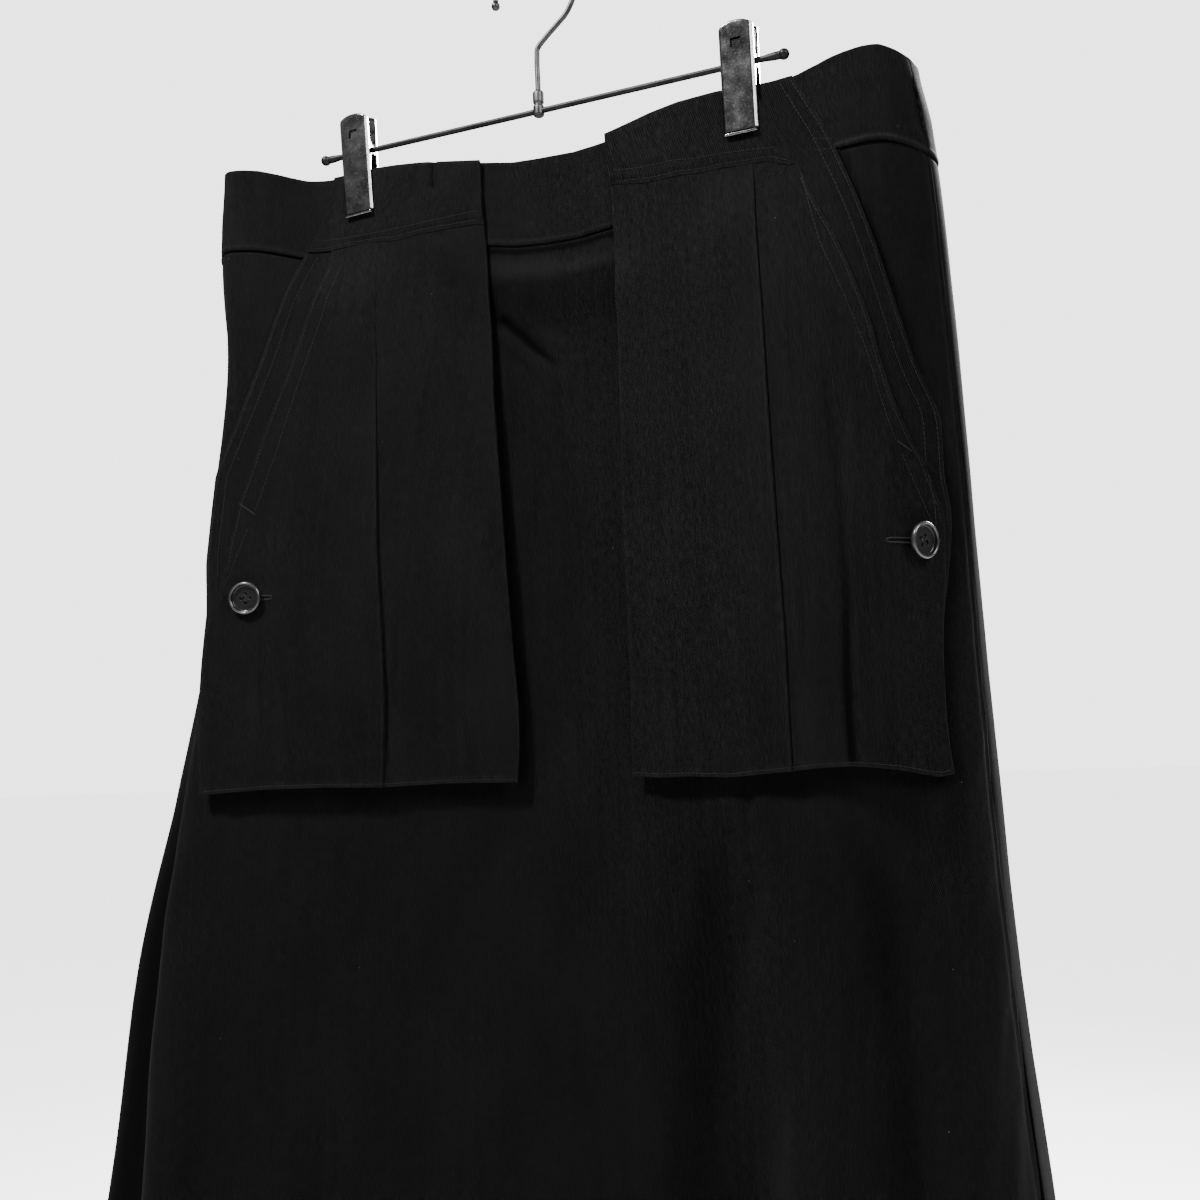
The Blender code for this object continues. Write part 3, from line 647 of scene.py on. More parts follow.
def glossy_black(name, dark, light, specular, coat):
    """Moulded button: black with fine scuffs and a clear face."""
    f = Finish(name, "Object")
    swirl = f.noise(f.at, 210.0, 3.0, 0.6)
    scuff = f.noise(f.at, 1600.0, 2.0, 0.7)
    return f.shade((0.25, 0.00002, scuff), Base_Color=f.mix(swirl, dark, light),
                   Roughness=f.total(0.20, (scuff, 0.16)), Specular_IOR_Level=specular,
                   Coat_Weight=coat, Coat_Roughness=0.08)


SKIRT, BACK, BAND_CLOTH, FACE, LINING = (
    twill(name, (light, light, light + 0.0001), seed)
    for name, light, seed in (("skirt_weave", 0.0072, 0.0), ("skirt_back_weave", 0.0072, 21.0),
                              ("band_weave", 0.0082, 40.0), ("panel_weave", 0.0084, 60.0),
                              ("panel_lining_weave", 0.0072, 80.0)))
THREAD = thread("sewing_thread", 0.0105)
BUTTON = glossy_black("button_gloss", 0.003, 0.007, 0.15, 0.20)
# The rim's black is lighter than the button's: a painted highlight ring. Its higher gloss and coat
# are finish.
RIM_PAINTED_HIGHLIGHT = glossy_black("button_rim_gloss", 0.005, 0.014, 0.45, 0.45)
WIRE = metal("wire_metal", 0.022, (0.080, 0.080, 0.082), 0.32, edge=0.35)
ROD_METAL = metal("rod_metal", 0.008, (0.026, 0.026, 0.027), 0.38, edge=0.10)
CLIP = metal("clip_metal", (0.040, 0.040, 0.041), (0.170, 0.170, 0.173), 0.05, spots=0.20)
SPRING = metal("spring_metal", 0.260, 0.500, 0.30)

# ---- camera ----

EYE = (0.3358, -0.7193, -0.4748)
YAW, PITCH, ROLL = (math.radians(v) for v in (23.15, 6.04, -2.03))
ahead = np.array((-math.sin(YAW) * math.cos(PITCH), math.cos(YAW) * math.cos(PITCH),
                  math.sin(PITCH)))
level = np.array((math.cos(YAW), math.sin(YAW), 0.0))
above = np.cross(level, ahead)
right = level * math.cos(ROLL) + above * math.sin(ROLL)
upward = above * math.cos(ROLL) - level * math.sin(ROLL)
data = bpy.data.cameras.new("camera")
data.sensor_width = 36.0
data.lens = 42.0
data.clip_start = 0.01
data.clip_end = 60.0
camera = bpy.data.objects.new("camera", data)
turn = np.eye(4)
turn[:3, 0], turn[:3, 1], turn[:3, 2], turn[:3, 3] = right, upward, -ahead, EYE
camera.matrix_world = Matrix(turn.tolist())
bpy.context.scene.collection.objects.link(camera)
bpy.context.scene.camera = camera

# ---- skirt and waistband ----

# Lines of (x, depth) on the front, mm: the dark sides of two folds, where shade is painted into the
# colour, and a crease, which is shaped and also painted darker.
FOLD_SHADE_MIDDLE = ((87, 380), (75, 480), (62, 590), (50, 830))
FOLD_SHADE_RIGHT = ((175, 400), (181, 500), (183, 600), (190, 830))
CREASE = ((-35, 92.5), (-23, 102.5), (-10, 115), (3.5, 127.5))


def bulge(x, depth):
    """Fullness that the waist seam pushes out between the panels."""
    start = np.interp(x, (-0.033, 0.041), (0.053, 0.064))
    rise = smooth(start, start + 0.023, depth) * fall(start + 0.024, start + 0.052, depth)
    span = smooth(-0.085, -0.048, x) * fall(0.052, 0.092, x)
    return 0.0026 * rise * span


def body_relief(x, depth, round_at):
    """Soft creases of the skirt above its hung form."""
    calm = smooth(0.050, 0.090, depth)
    lift = calm * (0.00035 * wrinkle(round_at, depth, 0.035, 0.300, 11)
                   + 0.00018 * wrinkle(round_at, depth, 0.012, 0.120, 12))
    free = smooth(0.372, 0.430, depth)
    lift = lift + free * 0.0006 * wrinkle(round_at, depth, 0.045, 0.500, 13)
    away, share = near_line(x, depth, CREASE)
    fade = smooth(0.0, 0.12, share) * fall(0.70, 1.0, share)
    lift = lift + fade * (0.0008 * bell(away, 0.0085, 0.004) - 0.0026 * bell(away, 0.0, 0.0026))
    pull = smooth(0.370, 0.385, depth) * fall(0.400, 0.470, depth)
    lift = lift + pull * (0.0011 * bell(x, 0.1045, 0.0030) - 0.0010 * bell(x, 0.1105, 0.0032)
                          + 0.0008 * bell(x, 0.1180, 0.0045))
    return lift + bulge(x, depth)


def side_distance(u, depth, mark):
    """Distance round the body from a station, in metres."""
    run = distances(place(u, depth), 1)
    return run - rowwise([mark] * len(u), u, run)[:, None]


def painted_front_shading(x, depth, u):
    """Painted shade and one painted light band, taken off the front's cloth colour: a dark line
    under the waist seam with a light band and a dark band below it, the crease, painted shadows
    beside the panels' edges, the left hollow and the dark sides of two folds.
    """
    between = smooth(-0.080, -0.045, x) * fall(0.045, 0.080, x)
    # Painted shade under the seam, a painted light band below it (the negative term), then painted
    # shade again.
    shade = between * (2.6 * bell(depth, 0.0542, 0.0017) - 0.9 * bell(depth, 0.0640, 0.0055)
                       + 0.9 * smooth(0.0690, 0.0730, depth) * fall(0.08, 0.11, depth))
    away, share = near_line(x, depth, CREASE)
    shade = shade + 3.6 * smooth(0.0, 0.1, share) * fall(0.5, 1.0, share) * bell(away, 0.0, 0.0024)
    low = smooth(0.180, 0.230, depth)
    # Painted shadows beside the right under-ply's edge and the left panel's inner edge.
    edge = [row[::-1] for row in RIGHT_UNDER]
    shade = shade + (2.6 + low) * by_line(x, depth, edge, 0.0024 + 0.004 * low)
    edge = [row[::-1] for row in LEFT_INNER]
    shade = shade + 1.6 * by_line(x, depth, edge, 0.0022)
    # Painted shade in the left hollow and along the dark sides of two folds.
    crest, valley = KNOTS[2], KNOTS[1]
    hollow = fall(0.65 * valley + 0.35 * crest, 0.10 * valley + 0.90 * crest, u)
    shade = shade + 3.6 * hollow * smooth(0.340, 0.420, depth)
    for width, fold in ((0.016, FOLD_SHADE_MIDDLE), (0.009, FOLD_SHADE_RIGHT)):
        shade = shade + 0.9 * smooth(0.380, 0.430, depth) * by_line(x, depth, fold, width)
    return shade


def skirt_cloth(name, low, high, columns, focus, rows, mat, seams, seed, nodes):
    """One length of the skirt, sewn up under the waistband."""
    uu, dd = np.meshgrid(spread(low, high, columns, focus), rows)
    base = place(uu, dd)
    x = base[..., 0]
    run = side_distance(uu, dd, low)
    front = low < U_RIGHT
    if front:
        lift = body_relief(x, dd, run)
    else:
        lift = smooth(0.050, 0.090, dd) * (0.0005 * wrinkle(run, dd, 0.045, 0.350, seed)
                                           + 0.0002 * wrinkle(run, dd, 0.014, 0.120, seed + 1))
    wear_and_painted_light = 0.5 * bell(dd, LENGTH, 0.002)
    for mark in seams:
        away = np.abs(side_distance(uu, dd, mark))
        lift = lift - 0.00055 * bell(away, 0.0, 0.0012) + 0.00022 * bell(away, 0.0035, 0.0020)
        wear_and_painted_light = wear_and_painted_light + 0.30 * bell(away, 0.0030, 0.0015)
    # Painted shade taken off the colour. The front gets it from the function above. The back is
    # painted darker low down beside its left side seam. Both get a painted shadow just under the
    # waistband's edge.
    wear_and_painted_light = wear_and_painted_light - (painted_front_shading(x, dd, uu) if front else
                   3.6 * smooth(0.955, 0.985, uu) * smooth(0.340, 0.420, dd))
    wear_and_painted_light = wear_and_painted_light - 2.5 * bell(dd, 0.0508, 0.0008) * fall(0.08, 0.15, x)
    tuck = fall(0.0497, 0.0535, dd)
    lift = lift - 0.5 * TWILL - 0.0012 * tuck
    hem = smooth(HEM_ROW - 0.0025, HEM_ROW + 0.0005, dd)
    lift = lift + 0.0003 * hem - 0.00025 * bell(dd, HEM_ROW, 0.0012)
    mid = place(uu, dd, lift)
    ob = shell(name, mid, TWILL, mat, columns // 2, wear_and_painted_light)
    return attach(ob, "skirt_twill", *nodes)


SKIRT_ROWS = spread(SKIRT_TOP, LENGTH, 170,
                    ((0.0515, 0.010, 8.0), (0.105, 0.030, 2.0), (0.390, 0.040, 0.8),
                     (HEM_ROW, 0.004, 3.0), (LENGTH, 0.004, 4.0)))
U_MID = float(front_u([-0.012], 0.110)[0])
skirt_front = skirt_cloth("skirt_cloth_front", SEAM_U, U_RIGHT - SEAM_U, 176,
                          ((U_MID, 0.020, 1.6), (0.0, 0.010, 0.8), (U_RIGHT, 0.012, 1.2)),
                          SKIRT_ROWS, SKIRT, (0.4926,), 11,
                          ("skirt_front", "skirt_side_left", "skirt_side_right"))
BACK_MID = float(KNOTS[17])
skirt_back = skirt_cloth("skirt_cloth_back", U_RIGHT + SEAM_U, 1.0 - SEAM_U, 120,
                         ((BACK_MID, 0.006, 3.0),),
                         spread(SKIRT_TOP, LENGTH, 120, ((0.0515, 0.010, 6.0),
                                                      (HEM_ROW, 0.004, 2.0),
                                                      (LENGTH, 0.004, 3.0))),
                         BACK, (BACK_MID,), 31, ("skirt_back_left", "skirt_back_right"))


def band_cloth(name, low, high, columns, mat, seed, nodes):
    """Folded waistband, edge to edge, with a ridge where it is sewn to the skirt."""
    rows = spread(0.0, BAND, 40, ((0.0485, 0.0016, 9.0), (0.0, 0.0012, 4.0)))
    uu, dd = np.meshgrid(spread(low, high, columns), rows)
    base = place(uu, dd)
    x = base[..., 0]
    run = side_distance(uu, dd, low)
    calm = 1.0 - 0.7 * bell(np.abs(x), CLIP_X, 0.022)
    lift = calm * (0.00030 * wrinkle(run, dd, 0.050, 0.060, seed)
                   + 0.00010 * wrinkle(run, dd, 0.010, 0.014, seed + 1))
    lift = lift + 0.00022 * bell(dd, 0.0487, 0.0008) - 0.00015 * bell(dd, 0.0462, 0.0012)
    lift = lift - 0.0004 * bell(np.abs(x), CLIP_X, 0.014) * fall(0.028, 0.040, dd)
    if low < U_RIGHT:
        end = smooth(0.474, 0.490, uu) * fall(0.509, 0.520, uu)
        lift = lift - 0.0014 * end * smooth(0.010, 0.020, dd) * fall(0.034, 0.043, dd)
        lift = lift - 0.0016 * bell(uu, 0.511, 0.004) * bell(dd, 0.0327, 0.003)
    # Painted highlight along the ridge of the seam to the skirt, brighter towards the right.
    wear_and_painted_light = (0.4 + 1.4 * smooth(0.10, 0.17, x)) * bell(dd, 0.0484, 0.0010)
    wear_and_painted_light = wear_and_painted_light + 0.3 * bell(dd, 0.0, 0.0012)
    mid = place(uu, dd, lift - 0.0002)
    ob = shell(name, mid, BAND_TWILL, mat, columns // 2, wear_and_painted_light)
    return attach(ob, "band_twill", *nodes)


band_front = band_cloth("band_cloth_front", SEAM_U, U_RIGHT - SEAM_U, 230, BAND_CLOTH, 51,
                        ("waistband_front",))
band_back = band_cloth("band_cloth_back", U_RIGHT + SEAM_U, 1.0 - SEAM_U, 170, BAND_CLOTH, 53,
                       ("waistband_back",))

# ---- pocket panels ----

PANEL_FOOT = 0.368
PANEL_RISE = {"left": 0.0005, "right": 0.0035}
EDGES = {"left": (LEFT_INNER, LEFT_FACE, LEFT_UNDER),
         "right": (RIGHT_INNER, RIGHT_FACE, RIGHT_UNDER)}
SPAN_POINTS = 160
FOOT = {
    "left": ((-211.9, 369.3), (-174.4, 367.1), (-143.2, 367.1), (-112.7, 368.2), (-76.3, 367.1),
             (-35.6, 367.7)),
    "right": ((44.1, 365.4), (60.6, 366.6), (79.1, 366), (107.2, 367.1), (125.2, 366),
              (141.3, 364.9), (155.9, 363.2), (168.6, 362.7), (178.9, 364.3), (187.8, 366),
              (197.1, 368.8), (202.7, 370.4), (209, 369.3)),
}
PLEAT = {
    "left": ((34, -112), (64, -111.4), (113, -111), (203, -112.3), (231, -112.6), (276, -111.1),
             (315, -110.2), (367, -112.2)),
    "right": ((34.3, 128.9), (77.5, 131.7), (124.6, 134.5), (186.6, 137.4), (236.4, 139.5),
              (298.4, 141.7), (364.3, 142.2)),
}
OPEN = {
    "left": ((40, 0.05), (130, 0.10), (215, 1.00), (320, 1.50), (368, 0.50)),
    "right": ((40, 0.30), (120, 0.50), (200, 0.90), (300, 0.80), (368, 0.40)),
}
SOFT_CREASE = ((166.1, 135.7), (165.9, 168.9), (168.3, 203.8), (169.2, 243.1), (169.3, 282.4),
               (168.2, 325), (169, 366))


def edges_of(side, ply):
    """Left and right edge of a panel's ply."""
    inner, face, under = EDGES[side]
    outer = face if ply == "face" else under
    return (outer, inner) if side == "left" else (inner, outer)


class Span:
    """Rows of a panel's ply: distance along each row from its left edge, as seen from the front."""

    def __init__(self, side, ply, depths):
        self.side, self.depths = side, depths
        low, high = (front_u(lookup(edge, depths), depths)[:, None] for edge in edges_of(side, ply))
        self.u = low + (high - low) * np.linspace(0.0, 1.0, SPAN_POINTS)
        at = place(self.u, depths[:, None])
        self.x = at[..., 0]
        self.run = distances(at, 1)
        self.length = self.run[:, -1]

    def points(self, run, off, rise=True):
        """Grid of points from distances and heights, both (rows, columns)."""
        u = rowwise(run, self.run, self.u)
        over = run - np.clip(run, 0.0, self.length[:, None])
        share = np.clip(run / self.length[:, None], 0.0, 1.0)
        if self.side == "left":
            share = 1.0 - share
        depth = np.repeat(self.depths[:, None], run.shape[1], axis=1)
        x = rowwise(run, self.run, self.x)
        foot = lookup(FOOT[self.side], x) - PANEL_FOOT
        depth = depth + foot * smooth(0.250, PANEL_FOOT, depth)
        if rise:
            depth = depth - PANEL_RISE[self.side] * (1.0 - share) * fall(0.0, 0.05, depth)
        at = place(u, depth, off + panel_off(depth) + bulge(x, depth))
        tangent = unit(np.gradient(place(u, depth), axis=1))
        return at + tangent * over[..., None]


def face_level(depth):
    return FACE_MID + 0.0008 * smooth(0.045, 0.110, depth)


def panel_relief(side, x, depth, run):
    """Soft creases of a panel's face."""
    calm = smooth(0.045, 0.100, depth)
    seed = 71 if side == "left" else 81
    lift = calm * (0.00022 * wrinkle(run, depth, 0.030, 0.160, seed)
                   + 0.00008 * wrinkle(run, depth, 0.009, 0.050, seed + 1))
    if side == "left":
        lift = lift - 0.0009 * bell(x, -0.064, 0.016) * bell(depth, 0.067, 0.008)
        lift = lift + 0.0005 * bell(x, -0.064, 0.018) * bell(depth, 0.052, 0.007)
    else:
        away, share = near_line(x, depth, SOFT_CREASE)
        hard = smooth(0.320, 0.352, depth)
        start = smooth(0.0, 0.25, share)
        lift = lift - start * (0.0011 + 0.0003 * hard) * bell(away, 0.0, 0.0022 - 0.0010 * hard)
        lift = lift + 0.0009 * bell(x, 0.195, 0.010) * bell(depth, 0.272, 0.016)
    return lift


def face_cloth(side):
    """Face of a panel with its knife pleat, folded to the left under the top layer."""
    rows = spread(0.0004, PANEL_FOOT, 96, ((0.050, 0.014, 1.5), (PANEL_FOOT, 0.006, 5.0),
                                           (0.255, 0.02, 0.4)))
    span = Span(side, "face", rows)
    pleat = rowwise(lookup(PLEAT[side], rows), span.x, span.run)[:, None]
    full = 0.12 + 0.88 * smooth(0.042, 0.058 if side == "right" else 0.230, rows)[:, None]
    gape = lookup(OPEN[side], rows)[:, None]
    r_low = 0.00031 * full
    r_top = (0.00031 + 0.5 * gape) * full
    width = FOLD * (0.6 + 0.4 * full)
    length = span.length[:, None]
    share = np.linspace(0.0, 1.0, 64)[None, :]
    first = pleat * share
    top = 2 * r_low + 2 * r_top
    first_off = top * smooth(pleat - width - 0.024, pleat - 0.001, first)
    turn = np.radians(np.linspace(0.0, 180.0, 8))[None, 1:-1]
    fold = pleat + r_top * np.sin(turn)
    fold_off = 2 * r_low + r_top + r_top * np.cos(turn)
    back = pleat - width * np.linspace(0.0, 1.0, 8)[None, :]
    back_off = 2 * r_low + 0.0 * back
    hem = pleat - width - r_low * np.sin(turn)
    hem_off = r_low + r_low * np.cos(turn)
    last = pleat - width + (length - pleat + width) * np.linspace(0.0, 1.0, 58)[None, :]
    last_off = 0.0 * last
    run = np.concatenate((first, fold, back, hem, last), axis=1)
    off = np.concatenate((first_off, fold_off, back_off, hem_off, last_off), axis=1)
    depth = np.repeat(rows[:, None], run.shape[1], axis=1)
    x = rowwise(run, span.run, span.x)
    off = off + face_level(depth) + panel_relief(side, x, depth, run)
    off = off + 0.0003 * smooth(PANEL_FOOT - 0.0032, PANEL_FOOT - 0.0026, depth)
    off = off - 0.00018 * bell(depth, PANEL_FOOT - 0.0017, 0.0005)
    mid = span.points(run, off)
    edge = np.minimum(np.abs(run), np.abs(length - run))
    wear_and_painted_light = 0.5 * bell(edge, 0.0, 0.0012) + 0.9 * bell(depth, PANEL_FOOT, 0.0014)
    wear_and_painted_light = wear_and_painted_light + 0.6 * bell(run - pleat, 0.0, 0.0009) * (off > face_level(depth) + 0.0006)
    # Painted shade: darker along the right panel's soft crease, deepest low down, and in a patch
    # over the left panel's dent.
    if side == "right":
        away, share = near_line(x, depth, SOFT_CREASE)
        deep = 0.7 + 2.3 * smooth(0.230, 0.350, depth)
        wear_and_painted_light = wear_and_painted_light - deep * smooth(0.0, 0.3, share) * bell(away, 0.0, 0.0015)
    else:
        wear_and_painted_light = wear_and_painted_light - 0.8 * bell(x, -0.058, 0.013) * bell(depth, 0.070, 0.008)
    ob = shell("panel_%s_face" % side, mid, PLY_TWILL, FACE, 40, wear_and_painted_light)
    return attach(ob, "panel_twill", "pocket_%s_face" % side)


def under_cloth(side):
    """Lining ply that shows past the face along the pocket's mouth."""
    rows = spread(0.0, PANEL_FOOT, 80, ((PANEL_FOOT, 0.006, 3.0),))
    span = Span(side, "under", rows)
    share = np.linspace(0.0, 1.0, 70)[None, :]
    run = span.length[:, None] * share
    depth = np.repeat(rows[:, None], run.shape[1], axis=1)
    seed = 91 if side == "left" else 95
    off = UNDER_MID + 0.00012 * smooth(0.05, 0.1, depth) * wrinkle(run, depth, 0.02, 0.09, seed)
    outer = run if side == "left" else span.length[:, None] - run
    off = off + 0.00025 * fall(0.0072, 0.0085, outer) * fall(0.24, 0.25, depth)
    mid = span.points(run, off)
    wear_and_painted_light = 0.8 * bell(outer, 0.0, 0.0012)
    ob = shell("panel_%s_under" % side, mid, 0.0006, LINING, 30, wear_and_painted_light)
    return attach(ob, "panel_lining_twill", "pocket_%s_under" % side)


YOKE_FOOT = {
    "left": ((-157.1, 45.9), (-128.8, 44.2), (-97.3, 45.2), (-44.8, 37.2)),
    "right": ((47.2, 27.6), (69.4, 35.3), (99.8, 40.9), (140.3, 43.1), (152, 49.2)),
}
ROW_LOW = {
    "left": ((-157.1, 45.4), (-128.8, 43.2), (-97.3, 44.3), (-44.8, 36.0)),
    "right": ((47.2, 26.6), (69.4, 34.3), (99.8, 39.9), (140.3, 42.1), (150, 47.2)),
}
ROW_HIGH = {
    "left": ((-157.5, 39.3), (-115.2, 40.4), (-87.5, 38.8), (-43.8, 30.5)),
    "right": ((46.2, 19.9), (63.6, 26), (99.7, 33.8), (128.9, 36), (143.1, 37.7)),
}


def yoke_cloth(side):
    """Facing folded over the top of a panel and stitched down along two rows."""
    share_rows = spread(0.0, 1.0, 30, ((1.0, 0.05, 3.0), (0.0, 0.04, 3.0)))
    columns = 96
    ply = "under" if side == "left" else "face"
    probe = Span(side, ply, np.array((0.050,)))
    low = np.linspace(0.0, 1.0, columns)
    foot = lookup(YOKE_FOOT[side], np.interp(low, np.linspace(0, 1, SPAN_POINTS), probe.x[0]))
    depth = -0.0004 + share_rows[:, None] * (foot + 0.0012 + 0.0004)[None, :]
    shift = 0.0006 if side == "left" else -0.0006
    ends = [front_u(lookup(edge, depth) + shift, np.clip(depth, 0, 1))
            for edge in edges_of(side, ply)]
    u_left, u_right = (end.reshape(depth.shape) for end in ends)
    uu = u_left + (u_right - u_left) * low[None, :]
    share = low[None, :] if side == "right" else 1.0 - low[None, :]
    shifted = depth - PANEL_RISE[side] * (1.0 - share) * fall(0.0, 0.05, depth)
    x = body(uu, np.clip(shifted, 0, 1)).reshape(depth.shape + (3,))[..., 0]
    seed = 101 if side == "left" else 105
    off = YOKE_MID + 0.00010 * wrinkle(x, depth, 0.018, 0.020, seed)
    for rows_table in (ROW_LOW, ROW_HIGH):
        at = lookup(rows_table[side], x)
        off = off - 0.00022 * bell(shifted, at, 0.0009) + 0.00012 * bell(shifted, at - 0.003, 0.002)
    if side == "left":
        away, along = near_line(x, depth, ((-71.4, 0.0), (-72.5, 19.0)))
        off = off - 0.0010 * bell(away, 0.0, 0.0016) * fall(0.6, 1.0, along)
        off = off + 0.0004 * bell(away, 0.0042, 0.0028)
        # Painted shade along the fold of the tuck at the left.
        tuck_painted_shade = 3.0 * bell(away, 0.0, 0.0013) * fall(0.6, 1.0, along)
    below = share_rows[:, None] * (foot + 0.0016)[None, :]
    off = off - 0.00045 * smooth(foot[None, :] - 0.0040, foot[None, :] + 0.0012, below)
    mid = place(uu, np.maximum(shifted, 0.0), off + panel_off(depth) + bulge(x, depth))
    mid[..., 2] -= np.minimum(shifted, 0.0)
    wear_and_painted_light = 0.6 * bell(depth, 0.0, 0.0012) - (tuck_painted_shade if side == "left" else 0.0)
    ob = shell("panel_%s_yoke" % side, mid, PLY_TWILL, FACE, columns // 2, wear_and_painted_light)
    return attach(ob, "panel_twill")


panels = {}
for side in ("left", "right"):
    panels[side] = {"under": under_cloth(side), "face": face_cloth(side), "yoke": yoke_cloth(side)}

# ---- stitching ----

def tree_of(*obs):
    """Ray caster over several pieces, in the model's frame."""
    points, faces = merged(obs)
    return BVHTree.FromPolygons(points.tolist(), faces)


def on_cloth(tree, u, depth, reach=0.030):
    """Where the cloth's surface is, straight out from the body, and its normal."""
    at = place(u, depth)
    out = normals(u, depth)
    found, ways = [], []
    for p, n in zip(at, out):
        hit, normal, _, _ = tree.ray_cast((p + n * reach).tolist(), (-n).tolist(), 2 * reach)
        found.append(p if hit is None else np.array(hit))
        ways.append(n if hit is None else np.array(normal))
    return np.array(found), unit(np.array(ways))


def stitch_path(line, x_line=True):
    """Round position and depth of points a half stitch apart along a line in mm."""
    line = np.array(line, float) / 1000.0
    run = distances(line)
    fine = np.linspace(0.0, run[-1], max(8, int(run[-1] / 0.004)))
    x = np.interp(fine, run, line[:, 0])
    depth = np.interp(fine, run, line[:, 1])
    u = front_u(x, depth) if x_line else x
    return u, depth


def stitch_row(tree, u, depth, length=STITCH, seed=0):
    """Ends and normals of the stitches of one row that follows points on the body."""
    at, ways = on_cloth(tree, u, depth)
    run = distances(at)
    count = max(1, int(round(run[-1] / length)))
    marks = np.linspace(0.0, run[-1], count + 1)
    rng = np.random.default_rng(1000 + seed)
    marks[1:-1] += rng.normal(0.0, 0.00008, max(0, count - 1))
    u_at, d_at = np.interp(marks, run, u), np.interp(marks, run, depth)
    at, ways = on_cloth(tree, u_at, d_at)
    return [(at[k], at[k + 1], unit(ways[k] + ways[k + 1])) for k in range(count)]


def stitches(name, rows, slot, radius=0.00021):
    """Rows of lockstitch: short rounded threads that dip into the cloth at their ends."""
    shape = ((-0.46, -0.5, 0.35), (-0.36, 0.35, 0.85), (0.0, 0.75, 1.0), (0.36, 0.35, 0.85),
             (0.46, -0.5, 0.35))
    sides = 6
    turn = 2 * math.pi * np.arange(sides) / sides
    points, faces = [], []
    for a, b, out in rows:
        run = b - a
        side = unit(np.cross(out, run))
        base = len(points) * sides
        for along, lift, size in shape:
            at = a + run * (0.5 + along) + out * (lift * radius)
            points.append(at + radius * size * (np.outer(np.cos(turn), side)
                                                + np.outer(np.sin(turn), out)))
        for ring in range(len(shape) - 1):
            for k in range(sides):
                n = (k + 1) % sides
                low, high = base + ring * sides, base + (ring + 1) * sides
                faces.append((low + k, high + k, high + n, low + n))
        faces.append(tuple(base + k for k in range(sides)))
        faces.append(tuple(base + (len(shape) - 1) * sides + k for k in reversed(range(sides))))
    return attach(make_object(name, np.concatenate(points), faces, THREAD), slot)


def inset_line(side, table, inset, low, high):
    """A line in mm that runs in from a panel's outer edge."""
    depth = np.arange(low, high, 6.0)
    x = lookup(table, depth / 1000.0) * 1000.0
    slope = np.gradient(x, depth)
    inward = 1.0 if side == "left" else -1.0
    return [(a + inward * inset * math.sqrt(1 + s * s), d) for a, d, s in zip(x, depth, slope)]


MOUTH = {
    "left": ((-136, 60), (-145.7, 96), (-155, 125), (-168.9, 170.5), (-181.1, 204.9)),
    "right": ((157.9, 57), (166.3, 99.1), (172.6, 116.8), (179.2, 137.3), (184.5, 156.1),
              (190.4, 187.2), (193.9, 201.5)),
}
MOUTH_LOW = {
    "left": ((-185.6, 215.4), (-198.4, 248.1)),
    "right": ((195.9, 207.1), (198.4, 215.4), (201.6, 225.4), (204.4, 235.3), (207.1, 243.1)),
}
TACK = {"left": ((-191.6, 199.9), (-181.2, 207.1)), "right": ((194.3, 201.0), (200.4, 205.8))}

for side in ("left", "right"):
    ply = panels[side]
    tree = tree_of(ply["under"], ply["face"], ply["yoke"])
    inner, face, under = EDGES[side]
    rows = []
    for k, line in enumerate((MOUTH[side], MOUTH_LOW[side], inset_line(side, face, 1.6, 60, 246))):
        rows += stitch_row(tree, *stitch_path(line), seed=k)
    for shift in (-0.35, 0.0, 0.35):
        (x0, d0), (x1, d1) = TACK[side]
        line = ((x0, d0 + shift), (x1, d1 + shift))
        rows += stitch_row(tree, *stitch_path(line), length=0.0012, seed=9)
    foot = np.array(FOOT[side], float)
    foot_line = [(x + (1.5 if k == 0 else -1.5 if k == len(foot) - 1 else 0), d - 1.7)
                 for k, (x, d) in enumerate(foot)]
    rows += stitch_row(tree, *stitch_path(foot_line), seed=4)
    stitches("stitches_%s_face" % side, rows, "panel_twill")
    rows = []
    for k, inset in enumerate((1.5, 7.0)):
        rows += stitch_row(tree, *stitch_path(inset_line(side, under, inset, 2 if side == "right"
                                                         else 50, 245)), seed=20 + k)
    if side == "right":
        for line in (((165, 41), (178, 46)), ((165, 47), (179, 52))):
            rows += stitch_row(tree, *stitch_path(line), seed=24)
    stitches("stitches_%s_under" % side, rows, "panel_lining_twill")
    rows = stitch_row(tree, *stitch_path(ROW_LOW[side]), seed=30)
    rows += stitch_row(tree, *stitch_path(ROW_HIGH[side]), seed=31)
    stitches("stitches_%s_yoke" % side, rows, "panel_twill")

for k, (end, cloth, low, high) in enumerate((("front", skirt_front, 0.0, U_RIGHT),
                                             ("back", skirt_back, U_RIGHT, 1.0))):
    rows = stitch_row(tree_of(cloth), np.linspace(low + 0.002, high - 0.002, 260),
                      np.full(260, HEM_ROW), length=0.0032, seed=41 + k)
    stitches("stitches_hem_" + end, rows, "skirt_twill")

# ---- buttons ----

BUTTON_R = 0.0098
BUTTON_HOLE_R = 0.0011
BUTTON_HOLE_AT = 0.0018
BUTTON_TURN = {"left": 0.0, "right": -0.22}
BUTTON_AT = {"left": (-0.1856, 0.2550), "right": (0.1996, 0.2500)}
HOLE_LINE = {"left": (-0.1955, -0.1710), "right": (0.1865, 0.2060)}


